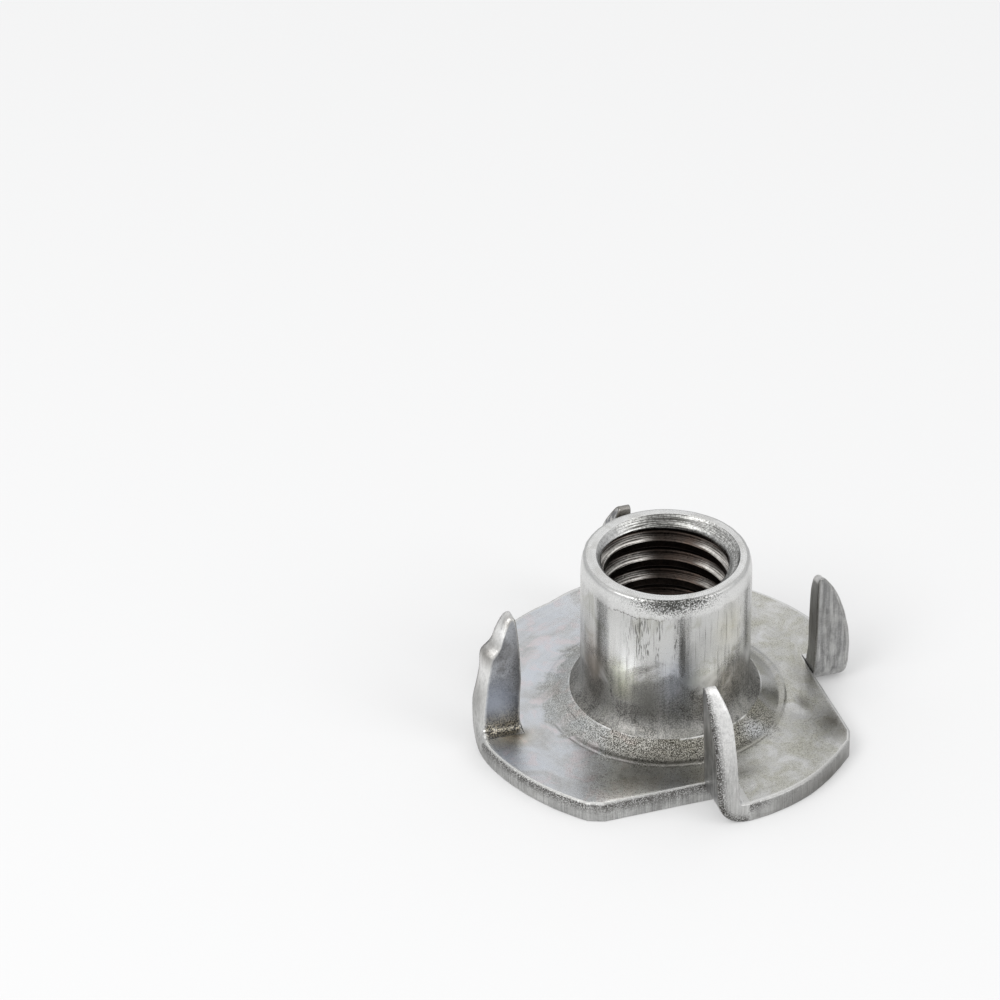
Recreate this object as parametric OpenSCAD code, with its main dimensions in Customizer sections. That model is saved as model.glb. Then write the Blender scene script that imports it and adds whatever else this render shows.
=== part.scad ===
// Tee nut: one round blank of steel sheet, drawn up into a threaded barrel,
// sheared along four straight lines at its rim and folded into four prongs.
// The axis of the bore is Z. The underside of the flange lies on z = 0.

/* [Flange] */
// Diameter across the round rim of the flange
flange_d = 22; // [20:0.5:25]
// Thickness of the sheet
sheet_t = 1.2; // [0.9:0.05:1.5]
// Distance from the axis to each straight sheared edge
cut_reach = 8.5; // [7.8:0.1:9.2]
// Width of the small flat that blunts each corner of the rim
corner_flat = 1; // [0.4:0.1:1.6]
// Rounding that the die left on the lower edge of the rim
die_roll = 0.15; // [0.1:0.05:0.5]

/* [Barrel] */
// Height from the underside of the flange to the top of the barrel
nut_h = 10.5; // [8:0.5:16]
// Outside diameter of the barrel
barrel_d = 9.35; // [8.8:0.05:10]
// How far the wall draws in at the barrel's top, in one gentle curve
lip_w = 0.19; // [0.1:0.01:0.3]
// Length of the barrel's wall over which it draws in
lip_h = 0.85; // [0.6:0.05:1.2]

/* [Collar] */
// How far the collar's crest stands out from the barrel
collar_w = 0.66; // [0.4:0.02:0.9]
// Height of the collar's crest above the flange
collar_h = 0.72; // [0.4:0.02:1]
// Width of the sloping skirt that falls from the crest to the flange
skirt_w = 0.9; // [0.5:0.05:1.2]
// Height of the hollow fillet between the collar's crest and the barrel
fillet_h = 1.2; // [0.8:0.05:1.6]

/* [Bore] */
// Diameter of the bore at the crests of its M8 thread
bore_d = 6.8; // [6.6:0.05:7]
// Width of the chamfer at the top of the bore
bore_chamfer = 0.5; // [0.2:0.05:0.7]
// How far the funnel's mouth stands out from the bore
mouth_w = 1.65; // [1:0.05:2]
// How far the funnel's throat stands out from the bore
throat_w = 0.3; // [0.1:0.05:0.5]
// Depth of the funnel from the underside to its throat
funnel_depth = 1.2; // [0.8:0.1:1.8]
// Radius of curvature of the funnel's bell-shaped wall
bell_r = 2.5; // [1.6:0.1:6]
// Length of the taper that leads from the throat into the bore
lead_in = 0.7; // [0.5:0.1:1.2]

/* [Prongs] */
// Number of prongs round the rim
prong_count = 4; // [3:1:5]
// Height from the underside of the flange to the tip of each prong
prong_h = 7.9; // [6:0.1:9]
// Distance of a prong's outer face from the radial line beside it
prong_face = 0.8; // [0.5:0.1:1.2]
// Radius on the outside of each fold
fold_out_r = 1.8; // [1.5:0.1:2.2]
// Radius in the crease of each fold
fold_in_r = 0.25; // [0.1:0.05:0.5]
// Radius of each prong's blunt tip, seen from its flat side
tip_r = 0.42; // [0.2:0.02:0.6]
// How much thinner the tip is than the sheet, all of it off the inner side
tip_thinning = 0.55; // [0.4:0.05:0.8]
// Length of the slope that thins the tip
tip_slope = 2; // [1:0.1:3]

/* [Hidden] */
$fn = 96;
over = 1;
flange_r = flange_d / 2;
barrel_r = barrel_d / 2;
bore_r = bore_d / 2;
steel = [0.68, 0.68, 0.66];

// Lip: its curve leaves the wall upright and passes through the edge of the top face
lip_curve_r = round(50 * (pow(lip_w, 2) + pow(lip_h, 2)) / lip_w) / 100;

// Collar: its fillet is a circle that touches the barrel and passes through the crest
crest_r = barrel_r + collar_w;
crest_z = sheet_t + collar_h;
skirt_r = crest_r + skirt_w;
fillet_r = (pow(collar_w, 2) + pow(fillet_h, 2)) / (2 * collar_w);

// Funnel: its bell is a circle through the mouth and the throat
mouth_r = bore_r + mouth_w;
throat_r = bore_r + throat_w;
bell_chord = norm([mouth_r - throat_r, funnel_depth]);
bell_offset = sqrt(pow(bell_r, 2) - pow(bell_chord / 2, 2));
bell_x = (mouth_r + throat_r) / 2 + bell_offset * funnel_depth / bell_chord;
bell_z = funnel_depth / 2 + bell_offset * (mouth_r - throat_r) / bell_chord;

// Rim corner where a sheared edge ends, and the flat that blunts it
corner_angle = acos(cut_reach / flange_r);
corner_reach = flange_r * cos(corner_angle / 2) - corner_flat / 2 * tan(corner_angle / 2);
corner_side = flange_r * sin(corner_angle / 2);

// Fold: its outer arc touches the underside and the prong's outer face. Its straight rim
// starts a few microns inside the round rim of the flange, so that the two never cross.
fold_side = fold_out_r - prong_face;
fold_reach = floor(100 * (sqrt(pow(flange_r, 2) - pow(fold_side, 2)) - 0.002)) / 100;

// Prong: its curved edge starts upright on top of the fold and ends on the rounded tip.
// The tip's circle overlaps both edges a little, so it meets each at a clear corner.
tip_inset = 0.95 * tip_r;
tip_x = cut_reach + tip_inset;
tip_z = prong_h - tip_r;
edge_drop = tip_z - fold_out_r;
edge_run = fold_reach - tip_x;
edge_r = round(50 * (pow(edge_drop, 2) + pow(edge_run, 2) - pow(tip_inset, 2))
               / (edge_run - tip_inset)) / 100;
edge_x = fold_reach - edge_r;
tip_angle = atan2(edge_drop, tip_x - edge_x);
tip_end = [tip_x + tip_r * cos(tip_angle), tip_z + tip_r * sin(tip_angle)];

// What a rounding of radius r takes off a corner at the origin
module corner_cut(r) {
    difference() {
        translate([-r, -r]) square(r + over);
        translate([-r, -r]) circle(r);
    }
}

// Section of the flat sheet out to radius r, with the die roll on its lower edge
module sheet_section(r) {
    difference() {
        square([r, sheet_t]);
        translate([r, 0]) mirror([0, 1]) corner_cut(die_roll);
    }
}

// Section of the barrel, drawn in at its lip
module barrel_section() {
    difference() {
        square([barrel_r, nut_h]);
        translate([barrel_r, nut_h - lip_h]) difference() {
            translate([-over, 0]) square([2 * over, lip_h + over]);
            translate([-lip_curve_r, 0]) circle(lip_curve_r);
        }
    }
}

// Section of the collar round the barrel's foot; the fillet's circle cuts its crest
module collar_section() {
    difference() {
        polygon([[0, 0], [skirt_r, 0], [skirt_r, sheet_t],
                 [crest_r - 0.1 * skirt_w, crest_z + 0.1 * collar_h],
                 [crest_r, crest_z + fillet_h], [0, crest_z + fillet_h]]);
        translate([barrel_r + fillet_r, crest_z + fillet_h]) circle(fillet_r);
    }
}

// Section of the hole: funnel, lead-in, bore and top chamfer
module hole_section() {
    difference() {
        translate([0, -over]) square([bell_x, over + funnel_depth + lead_in / 4]);
        translate([bell_x, bell_z]) circle(bell_r);
    }
    polygon([[0, funnel_depth / 2], [throat_r + throat_w * funnel_depth / 2 / lead_in, funnel_depth / 2],
             [bore_r - throat_w, funnel_depth + 2 * lead_in], [0, funnel_depth + 2 * lead_in]]);
    square([bore_r, nut_h + over]);
    polygon([[0, nut_h - bore_chamfer - bore_r], [bore_r + bore_chamfer + over, nut_h + over],
             [0, nut_h + over]]);
}

// The drawn blank: disc, collar and barrel, with the hole through them
module drawn_blank() {
    rotate_extrude() difference() {
        union() {
            sheet_section(flange_r);
            barrel_section();
            collar_section();
        }
        hole_section();
    }
}

// What shearing takes from the flat disc beside one prong, up to where the fold starts
module sheared_tab() {
    translate([cut_reach, -flange_r - over, -over])
        cube([flange_r, flange_r + over + fold_side, sheet_t + 2 * over]);
    rotate([0, 0, -corner_angle / 2])
        translate([corner_reach, -corner_side - corner_flat, -over])
            cube([flange_r, 2 * corner_flat, sheet_t + 2 * over]);
}

// One fold: a quarter turn of sheet, with the crease on its inner side
module fold() {
    difference() {
        translate([cut_reach, fold_side, fold_out_r]) rotate([90, 0, 90]) rotate([0, 0, 180])
            rotate_extrude(angle = 90) difference() {
                square([fold_out_r, fold_reach - cut_reach]);
                translate([fold_out_r, fold_reach - cut_reach]) corner_cut(die_roll);
            }
        translate([cut_reach - over, sheet_t - prong_face, sheet_t]) rotate([90, 0, 90])
            linear_extrude(flange_r) difference() {
                square(fold_out_r + over);
                rotate(180) corner_cut(fold_in_r);
            }
    }
}

// What is outside the rounded tip, as seen from the prong's flat side
module tip_trim() {
    difference() {
        polygon([[tip_x - tip_r - over, tip_z], [tip_x - tip_r, tip_z], tip_end,
                 [tip_end[0] + over, tip_end[1]], [tip_end[0] + over, prong_h + 2 * over],
                 [tip_x - tip_r - over, prong_h + 2 * over]]);
        translate([tip_x, tip_z]) circle(tip_r);
    }
}

// One prong above its fold: the rim of the blank standing on edge, cut to a thin rounded tip
module blade() {
    difference() {
        intersection() {
            translate([edge_x, -prong_face, fold_out_r]) rotate([-90, 0, 0])
                rotate_extrude() sheet_section(edge_r);
            translate([cut_reach, -prong_face - over, fold_out_r])
                cube([flange_r, sheet_t + 2 * over, prong_h - fold_out_r + over]);
        }
        translate([0, sheet_t, 0]) rotate([90, 0, 0]) linear_extrude(2 * sheet_t + over) tip_trim();
        translate([cut_reach - over, sheet_t - prong_face, prong_h - tip_slope]) rotate([90, 0, 90])
            linear_extrude(flange_r)
                polygon([[tip_thinning, -tip_slope], [-2 * tip_thinning, 2 * tip_slope],
                         [tip_thinning, 2 * tip_slope]]);
    }
}

module tee_nut() {
    color(steel) {
        difference() {
            drawn_blank();
            for (k = [0 : prong_count - 1]) rotate([0, 0, 360 * k / prong_count]) sheared_tab();
        }
        for (k = [0 : prong_count - 1]) rotate([0, 0, 360 * k / prong_count]) {
            fold();
            blade();
        }
    }
}

tee_nut();
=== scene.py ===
"""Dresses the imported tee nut: one stamped steel piece with its thread, worn edges and finishes.

The nut is one closed surface, put together from grids: the drawn body turned about the bore's
axis, the sheet round it with its four cut and folded prongs, and the sheared edge that joins
the sheet's two faces. All lengths inside the classes are in millimetres.
"""

from __future__ import annotations

import logging
import math
from dataclasses import dataclass, field
from enum import Enum
from functools import partial, reduce

import bpy
import numpy as np
from mathutils import Matrix

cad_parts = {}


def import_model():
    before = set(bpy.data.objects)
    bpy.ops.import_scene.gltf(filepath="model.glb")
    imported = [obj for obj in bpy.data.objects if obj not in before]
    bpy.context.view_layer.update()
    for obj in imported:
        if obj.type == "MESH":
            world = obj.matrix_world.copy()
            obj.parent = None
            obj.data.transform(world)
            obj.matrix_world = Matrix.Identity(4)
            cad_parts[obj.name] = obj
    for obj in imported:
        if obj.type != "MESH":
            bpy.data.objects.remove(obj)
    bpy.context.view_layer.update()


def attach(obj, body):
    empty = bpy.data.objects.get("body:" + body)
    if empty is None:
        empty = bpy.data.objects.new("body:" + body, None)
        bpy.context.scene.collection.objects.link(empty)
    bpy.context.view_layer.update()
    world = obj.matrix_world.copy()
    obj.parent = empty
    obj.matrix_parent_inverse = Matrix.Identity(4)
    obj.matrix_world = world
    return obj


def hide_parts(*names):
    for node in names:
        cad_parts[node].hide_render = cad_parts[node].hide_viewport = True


LOG = logging.getLogger("tee_nut")
MM = 0.001
QUARTER = 0.5 * math.pi
# Radius of the barrel's wall
WALL_R = 4.675
# What each point of the mesh knows besides its place
TRAITS = ("rubbed_and_lit", "grime_and_shade", "fresh")

Array = np.ndarray
Lengths = Array | float
Point = tuple[float, float, float]
Table = tuple[tuple[float, ...], ...]


class Skin(Enum):
    """The finishes on the nut, in the order of its material slots."""

    FLANGE = 0
    BARREL = 1
    FACED = 2
    THREAD = 3
    SHEARED = 4
    PRONG = 5
    HOLLOW = 6
    UNDERSIDE = 7


# -- Helpers for shapes --


def smooth(x: Lengths, low: float, high: float) -> Array:
    """Eases from 0 at low to 1 at high along 3t^2 - 2t^3, flat outside."""
    t = np.clip((np.asarray(x, float) - low) / (high - low), 0.0, 1.0)
    return t * t * (3.0 - 2.0 * t)


def joined(*parts: Lengths) -> Array:
    """Spreads coordinates to one shape and stacks them along a new last axis."""
    return np.stack(np.broadcast_arrays(*parts), axis=-1)


def zone(x: Lengths, rise: float, full: float, ebb: float, end: float) -> Array:
    """Eases from 0 at rise to 1 at full, and from 1 at ebb back to 0 at end."""
    return smooth(x, rise, full) * (1 - smooth(x, ebb, end))


def polar(r: Lengths, angle: Array, *height: Lengths) -> Array:
    """Points at a radius and an angle about the axis, with a height where one is given."""
    return joined(r * np.cos(angle), r * np.sin(angle), *height)


def lattice_noise(x: Array, y: Array, z: Array, size: float, seed: int) -> Array:
    """Smooth seeded noise between -1 and 1.

    Random values sit on a cubic lattice, and each point blends the eight round it with
    weights 3t^2 - 2t^3 along each axis.

    Args:
        x, y, z: Coordinates of the points.
        size: Spacing of the lattice.
        seed: Number that picks the random values.

    Returns:
        The noise at each point.
    """
    table = np.random.default_rng(seed).uniform(-1.0, 1.0, 4096)
    primes = np.array([73856093, 19349663, 83492791])
    p = joined(x, y, z) / size
    cell = np.floor(p).astype(np.int64)
    t = smooth(p - cell, 0.0, 1.0)
    total = np.zeros(p.shape[:-1])
    for corner in range(8):
        bits = np.array([corner & 1, corner >> 1 & 1, corner >> 2 & 1])
        key = np.bitwise_xor.reduce((cell + bits) * primes, axis=-1) & len(table) - 1
        total += np.prod(np.where(bits == 1, t, 1.0 - t), axis=-1) * table[key]
    return total


def layered_noise(
    x: Array, y: Array, z: Array, size: float, seed: int, layers: int = 3
) -> Array:
    """Adds layers of lattice_noise, each half the size and half the height of the one before."""
    parts = [lattice_noise(x, y, z, size / 2**i, seed + i) / 2**i for i in range(layers)]
    return sum(parts) / 1.6


def read(table: Table, x: Array) -> Array:
    """Reads a table of (x, y) pairs, sorted by x, with straight lines between them."""
    return np.interp(x, *zip(*table))


def patch(first: Array, last: Array, start: Array, end: Array) -> Array:
    """Fills a four-sided patch from its edges by transfinite interpolation.

    Each inner point is the blend of the two long edges plus the blend of the two short
    edges, less the blend of the four corners.

    Args:
        first, last: Points along the first and the last row, (n, k).
        start, end: Points down the first and the last column, (m, k).

    Returns:
        The grid of points, (m, n, k).
    """
    s = np.linspace(0.0, 1.0, len(first))[None, :, None]
    t = np.linspace(0.0, 1.0, len(start))[:, None, None]
    rows = (1 - t) * first[None] + t * last[None]
    columns = (1 - s) * start[:, None] + s * end[:, None]
    low = (1 - s) * (1 - t) * first[0] + s * (1 - t) * first[-1]
    return rows + columns - (low + (1 - s) * t * last[0] + s * t * last[-1])


def resampled(points: Array, cells: int, grading: float = 1.0) -> Array:
    """Spaces points anew along a polyline and smooths its corners.

    Args:
        points: Corners of the polyline, (n, 2).
        cells: Number of steps.
        grading: Power that the even steps are raised to; above 1 the first are finer.

    Returns:
        The new points, (cells + 1, 2), with the same ends.
    """
    steps = np.linalg.norm(np.diff(points, axis=0), axis=1)
    length = np.concatenate([[0.0], np.cumsum(steps)])
    at = length[-1] * np.linspace(0.0, 1.0, cells + 1) ** grading
    new = joined(*(np.interp(at, length, column) for column in points.T))
    for _ in range(3):
        new[1:-1] = 0.25 * new[:-2] + 0.5 * new[1:-1] + 0.25 * new[2:]
    return new


@dataclass(frozen=True)
class Handling:
    """The small unevenness that drawing, shearing and knocking about left on the nut.

    It moves points by fields of their place, so that faces that share a point stay
    joined, and keeps them inside the nut's box. A zone tells where a field sets in, is
    full, ebbs and ends. A bend of the rim is an angle and half a width in degrees, how
    far it rises and how far it stands out.
    """

    flute: float = 0.01
    lip_grit: float = 0.022
    lip_sunk: float = 0.012
    lip_groove: float = 0.016
    lip_z: float = 9.5
    wall_zone: tuple[float, ...] = (4.1, 4.4, 4.75, 5.2)
    crest_r: float = 5.31
    ridge_wave: float = 0.035
    sheet_wave: float = 0.022
    sheet_zone: tuple[float, ...] = (0.7, 1.15, 1.4, 2.6)
    edge_nibble: float = 0.02
    mouth_zone: tuple[float, ...] = (3.5, 3.8, 4.05, 4.35)
    mouth_shift: tuple[float, float] = (0.11, 0.03)
    burr: float = 0.36
    burr_place: tuple[float, float] = (-0.5, 1.3)
    burr_zone: tuple[float, ...] = (-11.1, -10.7, -10.0, -9.6)
    bends: Table = (
        (52.0, 48.0, 0.24, 0.06),
        (95.0, 13.0, 0.34, 0.0),
        (-150.0, 24.0, 0.0, -0.13),
        (-48.0, 18.0, 0.0, -0.1),
    )
    reach: float = 10.95
    top: float = 10.5

    def worked(self, points: Array) -> Array:
        """Moves points by the sum of all the fields at their place.

        Args:
            points: The nut's points, (n, 3).

        Returns:
            The moved points.
        """
        x, y, z = points.T
        r, angle = np.hypot(x, y), np.arctan2(y, x)
        ux, uy = x / r, y / r
        barrel = zone(r, *self.wall_zone) * smooth(z, 2.4, 3.4)
        flutes = lattice_noise(4.7 * ux, 4.7 * uy, 0.05 * z, 0.45, 11)
        flutes += lattice_noise(4.7 * ux, 4.7 * uy, 0.12 * z, 1.4, 12)
        out = self.flute * flutes * barrel
        ragged = layered_noise(3.0 * np.cos(angle), 3.0 * np.sin(angle), 0 * z, 1.3, 41, 4)
        level = z - (self.lip_z + 0.16 * ragged)
        grit = layered_noise(x, y, z, 0.45, 13)
        out += smooth(level, -0.05, 0.1) * barrel * (self.lip_grit * grit - self.lip_sunk)
        out -= self.lip_groove * (np.exp(-((level / 0.07) ** 2)) * barrel) * (1 + grit)
        ridge = np.exp(-(((r - self.crest_r) / 0.22) ** 2)) * smooth(z, 1.4, 1.7)
        crest = self.ridge_wave * layered_noise(5.3 * ux, 5.3 * uy, 0 * z, 1.6, 14, 4)
        lift = ridge * (crest - 0.01)
        sheet = smooth(r, 5.6, 6.6) * zone(z, *self.sheet_zone)
        lift += sheet * self.sheet_wave * (layered_noise(x, y, 0 * z, 2.6, 15) - 0.5)
        edge = smooth(r, 8.2, 8.6) * (1 - smooth(z, 7.0, 7.6))
        nibble = layered_noise(x, y, 0.35 * z, 0.55, 16)
        out -= edge * self.edge_nibble * (0.5 + 0.5 * nibble)
        for middle, half, rise, stand in self.bends:
            off = (np.degrees(angle) - middle + 180.0) % 360.0 - 180.0
            share = np.clip(1 - (off / half) ** 2, 0.0, 1.0) ** 1.5
            share = share * smooth(r, 8.0, 11.2) * (1 - smooth(z, 1.5, 3.2))
            lift, out = lift + rise * share, out + stand * share
        mouth = zone(r, *self.mouth_zone) * smooth(z, 9.9, 10.2)
        x, y = x + self.mouth_shift[0] * mouth, y + self.mouth_shift[1] * mouth
        by, bz = self.burr_place
        near = np.exp(-(((y - by) / 0.32) ** 2) - (((z - bz) / 0.3) ** 2))
        near *= zone(x, *self.burr_zone)
        lift += self.burr * near * np.abs(layered_noise(x, y, z, 0.5, 17)) * 2.0
        moved = joined(x + out * ux, y + out * uy, z + lift)
        low, high = (-self.reach, -self.reach, 0.0), (self.reach, self.reach, self.top)
        return np.clip(moved, low, high)


# -- The mesh that all the grids go into --


@dataclass
class SheetMetalMesh:
    """Collects grids of points, welds their shared edges and makes one mesh of them."""

    weld: float = 1e-5
    points: list[Array] = field(default_factory=list)
    quads: list[Array] = field(default_factory=list)
    skins: list[Array] = field(default_factory=list)
    traits: list[Array] = field(default_factory=list)
    count: int = 0

    def add_grid(
        self, grid: Array, skin: Skin, traits: Array | float = 0.0, turned: bool = False
    ) -> None:
        """Adds a grid of points as quads.

        Args:
            grid: Points, (m, n, 3). Going along a row and then to the next row turns
                left seen from outside.
            skin: Finish of the quads.
            traits: Per point, the share of rubbing and painted light, of grime and painted shade,
                and of fresh shearing, (m, n, 3).
            turned: True where the grid turns right instead, so the quads are reversed.
        """
        m, n = grid.shape[:2]
        index = self.count + np.arange(m * n).reshape(m, n)
        quads = joined(index[:-1, :-1], index[:-1, 1:], index[1:, 1:], index[1:, :-1])
        quads = quads.reshape(-1, 4)
        self.quads.append(quads[:, ::-1] if turned else quads)
        self.skins.append(np.full(len(quads), skin.value))
        self.points.append(grid.reshape(-1, 3))
        self.traits.append(np.broadcast_to(traits, (m, n, 3)).reshape(-1, 3))
        self.count += m * n

    def welded(self) -> tuple[Array, list[Array], Array, Array]:
        """Merges points at one place and drops the faces that this empties.

        Returns:
            The points, the faces as quads and triangles, each face's skin and each
            point's traits.
        """
        points = np.concatenate(self.points)
        keys = np.round(points / self.weld).astype(np.int64)
        _, first, place = np.unique(keys, axis=0, return_index=True, return_inverse=True)
        place = place.reshape(-1)
        traits = np.zeros((len(first), 3))
        np.maximum.at(traits, place, np.concatenate(self.traits))
        quads, skins = place[np.concatenate(self.quads)], np.concatenate(self.skins)
        same = quads == np.roll(quads, -1, axis=1)
        three = same.sum(axis=1) == 1
        crossed = (quads[:, 0] == quads[:, 2]) | (quads[:, 1] == quads[:, 3])
        whole = (same.sum(axis=1) == 0) & ~crossed
        triangles = quads[three][~same[three]].reshape(-1, 3)
        good = (triangles != np.roll(triangles, 1, axis=1)).all(axis=1)
        skins = np.concatenate([skins[whole], skins[three][good]])
        return points[first], [quads[whole], triangles[good]], skins, traits

    def build(self, name: str) -> bpy.types.Object:
        """Makes the Blender object from everything that was added, in metres.

        Args:
            name: Name of the object and of its mesh.

        Returns:
            The object, at the origin, shaded smooth, with the attributes of TRAITS.
        """
        points, (quads, triangles), skins, traits = self.welded()
        points = Handling().worked(points)
        mesh = bpy.data.meshes.new(name)
        mesh.from_pydata((points * MM).tolist(), [], quads.tolist() + triangles.tolist())
        mesh.polygons.foreach_set("material_index", skins.astype(np.int32))
        mesh.polygons.foreach_set("use_smooth", np.ones(len(skins), dtype=bool))
        for column, trait in zip(traits.T, TRAITS):
            layer = mesh.attributes.new(trait, "FLOAT", "POINT")
            layer.data.foreach_set("value", column.astype(np.float32))
        mesh.update()
        piece = bpy.data.objects.new(name, mesh)
        bpy.context.scene.collection.objects.link(piece)
        count = 2 * len(quads) + len(triangles)
        LOG.info("%s: %d points, %d triangles", name, len(points), count)
        return piece


# -- The drawn body: everything turned about the axis of the bore --

SLIT_ANGLE = math.atan2(1.0, 8.5)


def ring_angles(columns: int) -> Array:
    """Angles of a closed ring of columns.

    Args:
        columns: Number of columns round the axis.

    Returns:
        The angles in radians; the last is the first again.
    """
    angles = SLIT_ANGLE + math.tau * np.arange(columns + 1) / columns
    angles[-1] = angles[0]
    return angles


def turned(profile: Array, columns: int, halved_row: int | None = None) -> Array:
    """Carries a profile of radius and height round the axis.

    Args:
        profile: Radius and height of each row, (m, 2).
        columns: Number of columns round the axis.
        halved_row: Row whose points are shared by two columns, where the grid meets
            one with half as many columns.

    Returns:
        The grid of points, (m, columns + 1, 3).
    """
    angle = np.tile(ring_angles(columns), (len(profile), 1))
    if halved_row is not None:
        angle[halved_row] = angle[halved_row][np.arange(columns + 1) // 2 * 2]
    return polar(profile[:, :1], angle, profile[:, 1:])


@dataclass
class DrawnBody:
    """The flange's inner ring, the collar, the barrel, the bore and the funnel under it."""

    seat_r: float = 7.6
    sheet_t: float = 1.2
    nut_h: float = 10.5
    barrel_r: float = WALL_R
    collar: tuple[float, float] = (5.33, 1.93)
    crest: tuple[float, float] = (5.28, 1.957)
    fillet_r: float = 1.42
    fillet_top: float = 3.12
    skirt_r: float = 6.3
    skirt_sag: float = 0.06
    step_r: float = 6.72
    step_h: float = 0.045
    lip_w: float = 0.19
    lip_h: float = 0.85
    lip_round: float = 0.2
    face_rows: tuple[float, ...] = (4.28, 4.18, 4.05, 3.97, 3.94)
    chamfer_r: float = 3.92
    chamfer_drop: float = 0.012
    chamfer_slope: float = 1.02
    crest_r: float = 3.4
    root_r: float = 3.86
    pitch: float = 1.25
    crest_flat: float = 0.42
    root_flat: float = 0.18
    crest_at_back: float = 8.88
    back_angle: float = math.radians(90.0 - 20.146)
    thread_low: float = 1.3
    # The thread's rows, and how much painted light their upward flanks take, by their share of the
    # pitch above a crest
    row_shares: tuple[float, ...] = (
        -0.168, -0.13, 0.0, 0.13, 0.168, 0.2, 0.26, 0.33, 0.39, 0.428,
        0.5, 0.572, 0.61, 0.67, 0.74, 0.8,
    )
    rubbed_and_lit: Table = ((0.15, 0.0), (0.17, 0.7), (0.2, 1.0), (0.28, 0.8), (0.37, 0.3), (0.43, 0.0))
    lead_in_slope: float = 0.43
    throat_r: float = 3.7
    throat_z: float = 1.2
    bell_x: float = 5.924
    bell_z: float = 2.342
    bell_r: float = 2.5
    mouth_r: float = 5.05
    mouth_edge: Table = ((5.07, 0.02), (5.14, 0.004), (5.25, 0.0))
    flange_columns: int = 384
    barrel_columns: int = 192

    def skirt_profile(self) -> Array:
        """Rows from the sheet inward: flat, faint step, hollow skirt and the collar's crest.

        The skirt's height is its straight fall from the crest, sagging by a half sine.

        Returns:
            Radius and height of each row, (m, 2).
        """
        step_r, skirt_r, (collar_r, collar_z) = self.step_r, self.skirt_r, self.collar
        flat = np.linspace(self.seat_r, step_r + 0.04, 6)
        ledge = [step_r + 0.01, step_r - 0.04, step_r - 0.2, skirt_r + 0.12, skirt_r + 0.03]
        fall = np.linspace(skirt_r - 0.03, collar_r + 0.04, 12)
        radii = np.concatenate([flat, ledge, fall])
        share = np.clip((skirt_r - radii) / (skirt_r - collar_r), 0, 1)
        height = self.sheet_t + self.step_h * smooth(step_r - radii, -0.01, 0.04)
        climb = collar_z - (self.sheet_t + self.step_h)
        height += climb * (share - self.skirt_sag * np.sin(math.pi * share))
        crest = [[collar_r - 0.01, collar_z], self.crest]
        return np.concatenate([joined(radii, height), crest])

    def fillet_profile(self) -> Array:
        """Rows up the hollow fillet: an arc of fillet_r that ends upright at the barrel.

        Returns:
            Radius and height of each row, (m, 2).
        """
        centre = self.barrel_r + self.fillet_r
        turn = np.linspace(math.acos((centre - self.crest[0]) / self.fillet_r), 0.0, 11)
        r = centre - self.fillet_r * np.cos(turn)
        arc = joined(r, self.fillet_top - self.fillet_r * np.sin(turn))
        arc[0] = self.crest
        return arc

    def barrel_profile(self) -> Array:
        """Rows up the barrel, in round its worn lip and over the faced top.

        The lip draws in as the square of the height and ends in a quarter circle.

        Returns:
            Radius and height of each row, (m, 2).
        """
        shoulder, corner = self.nut_h - self.lip_h, self.nut_h - self.lip_round
        wall = joined(self.barrel_r, np.linspace(self.fillet_top, shoulder, 26))
        up = np.linspace(shoulder, corner, 6)[1:]
        drawn = self.lip_w * ((up - shoulder) / self.lip_h) ** 2
        turn = np.linspace(0.0, QUARTER, 7)[1:]
        side = self.barrel_r - drawn[-1] - self.lip_round * (1 - np.cos(turn))
        lip = joined(self.barrel_r - drawn, up)
        corner = joined(side, corner + self.lip_round * np.sin(turn))
        face = joined([side[-1] - 0.04, *self.face_rows], self.nut_h)
        edge = [[self.chamfer_r, self.nut_h - self.chamfer_drop]]
        return np.concatenate([wall, lip, corner, face, edge])

    def bell_profile(self) -> Array:
        """Rows down the funnel from the thread's end: lead-in, arc of bell_r, mouth edge.

        Returns:
            Radius and height of each row, (m, 2).
        """
        throat = math.atan2(self.throat_z - self.bell_z, self.throat_r - self.bell_x)
        mouth = math.atan2(-self.bell_z, self.mouth_r - self.bell_x)
        turn = np.linspace(throat % math.tau, mouth % math.tau - 0.02, 14)
        arc = polar(self.bell_r, turn) + [self.bell_x, self.bell_z]
        start = [[self.lead_in_r(self.thread_low), self.thread_low]]
        return np.concatenate([start, arc, self.mouth_edge])

    def underside_profile(self) -> Array:
        """Rows out along the flat underside to the sheet."""
        inner = self.mouth_edge[-1][:1]
        return joined(np.concatenate([inner, np.linspace(5.4, self.seat_r, 9)]), 0.0)

    def lead_in_r(self, z: Lengths) -> Lengths:
        """Radius of the lead-in cone at a height above the funnel's throat."""
        return self.throat_r - self.lead_in_slope * (z - self.throat_z)

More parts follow.
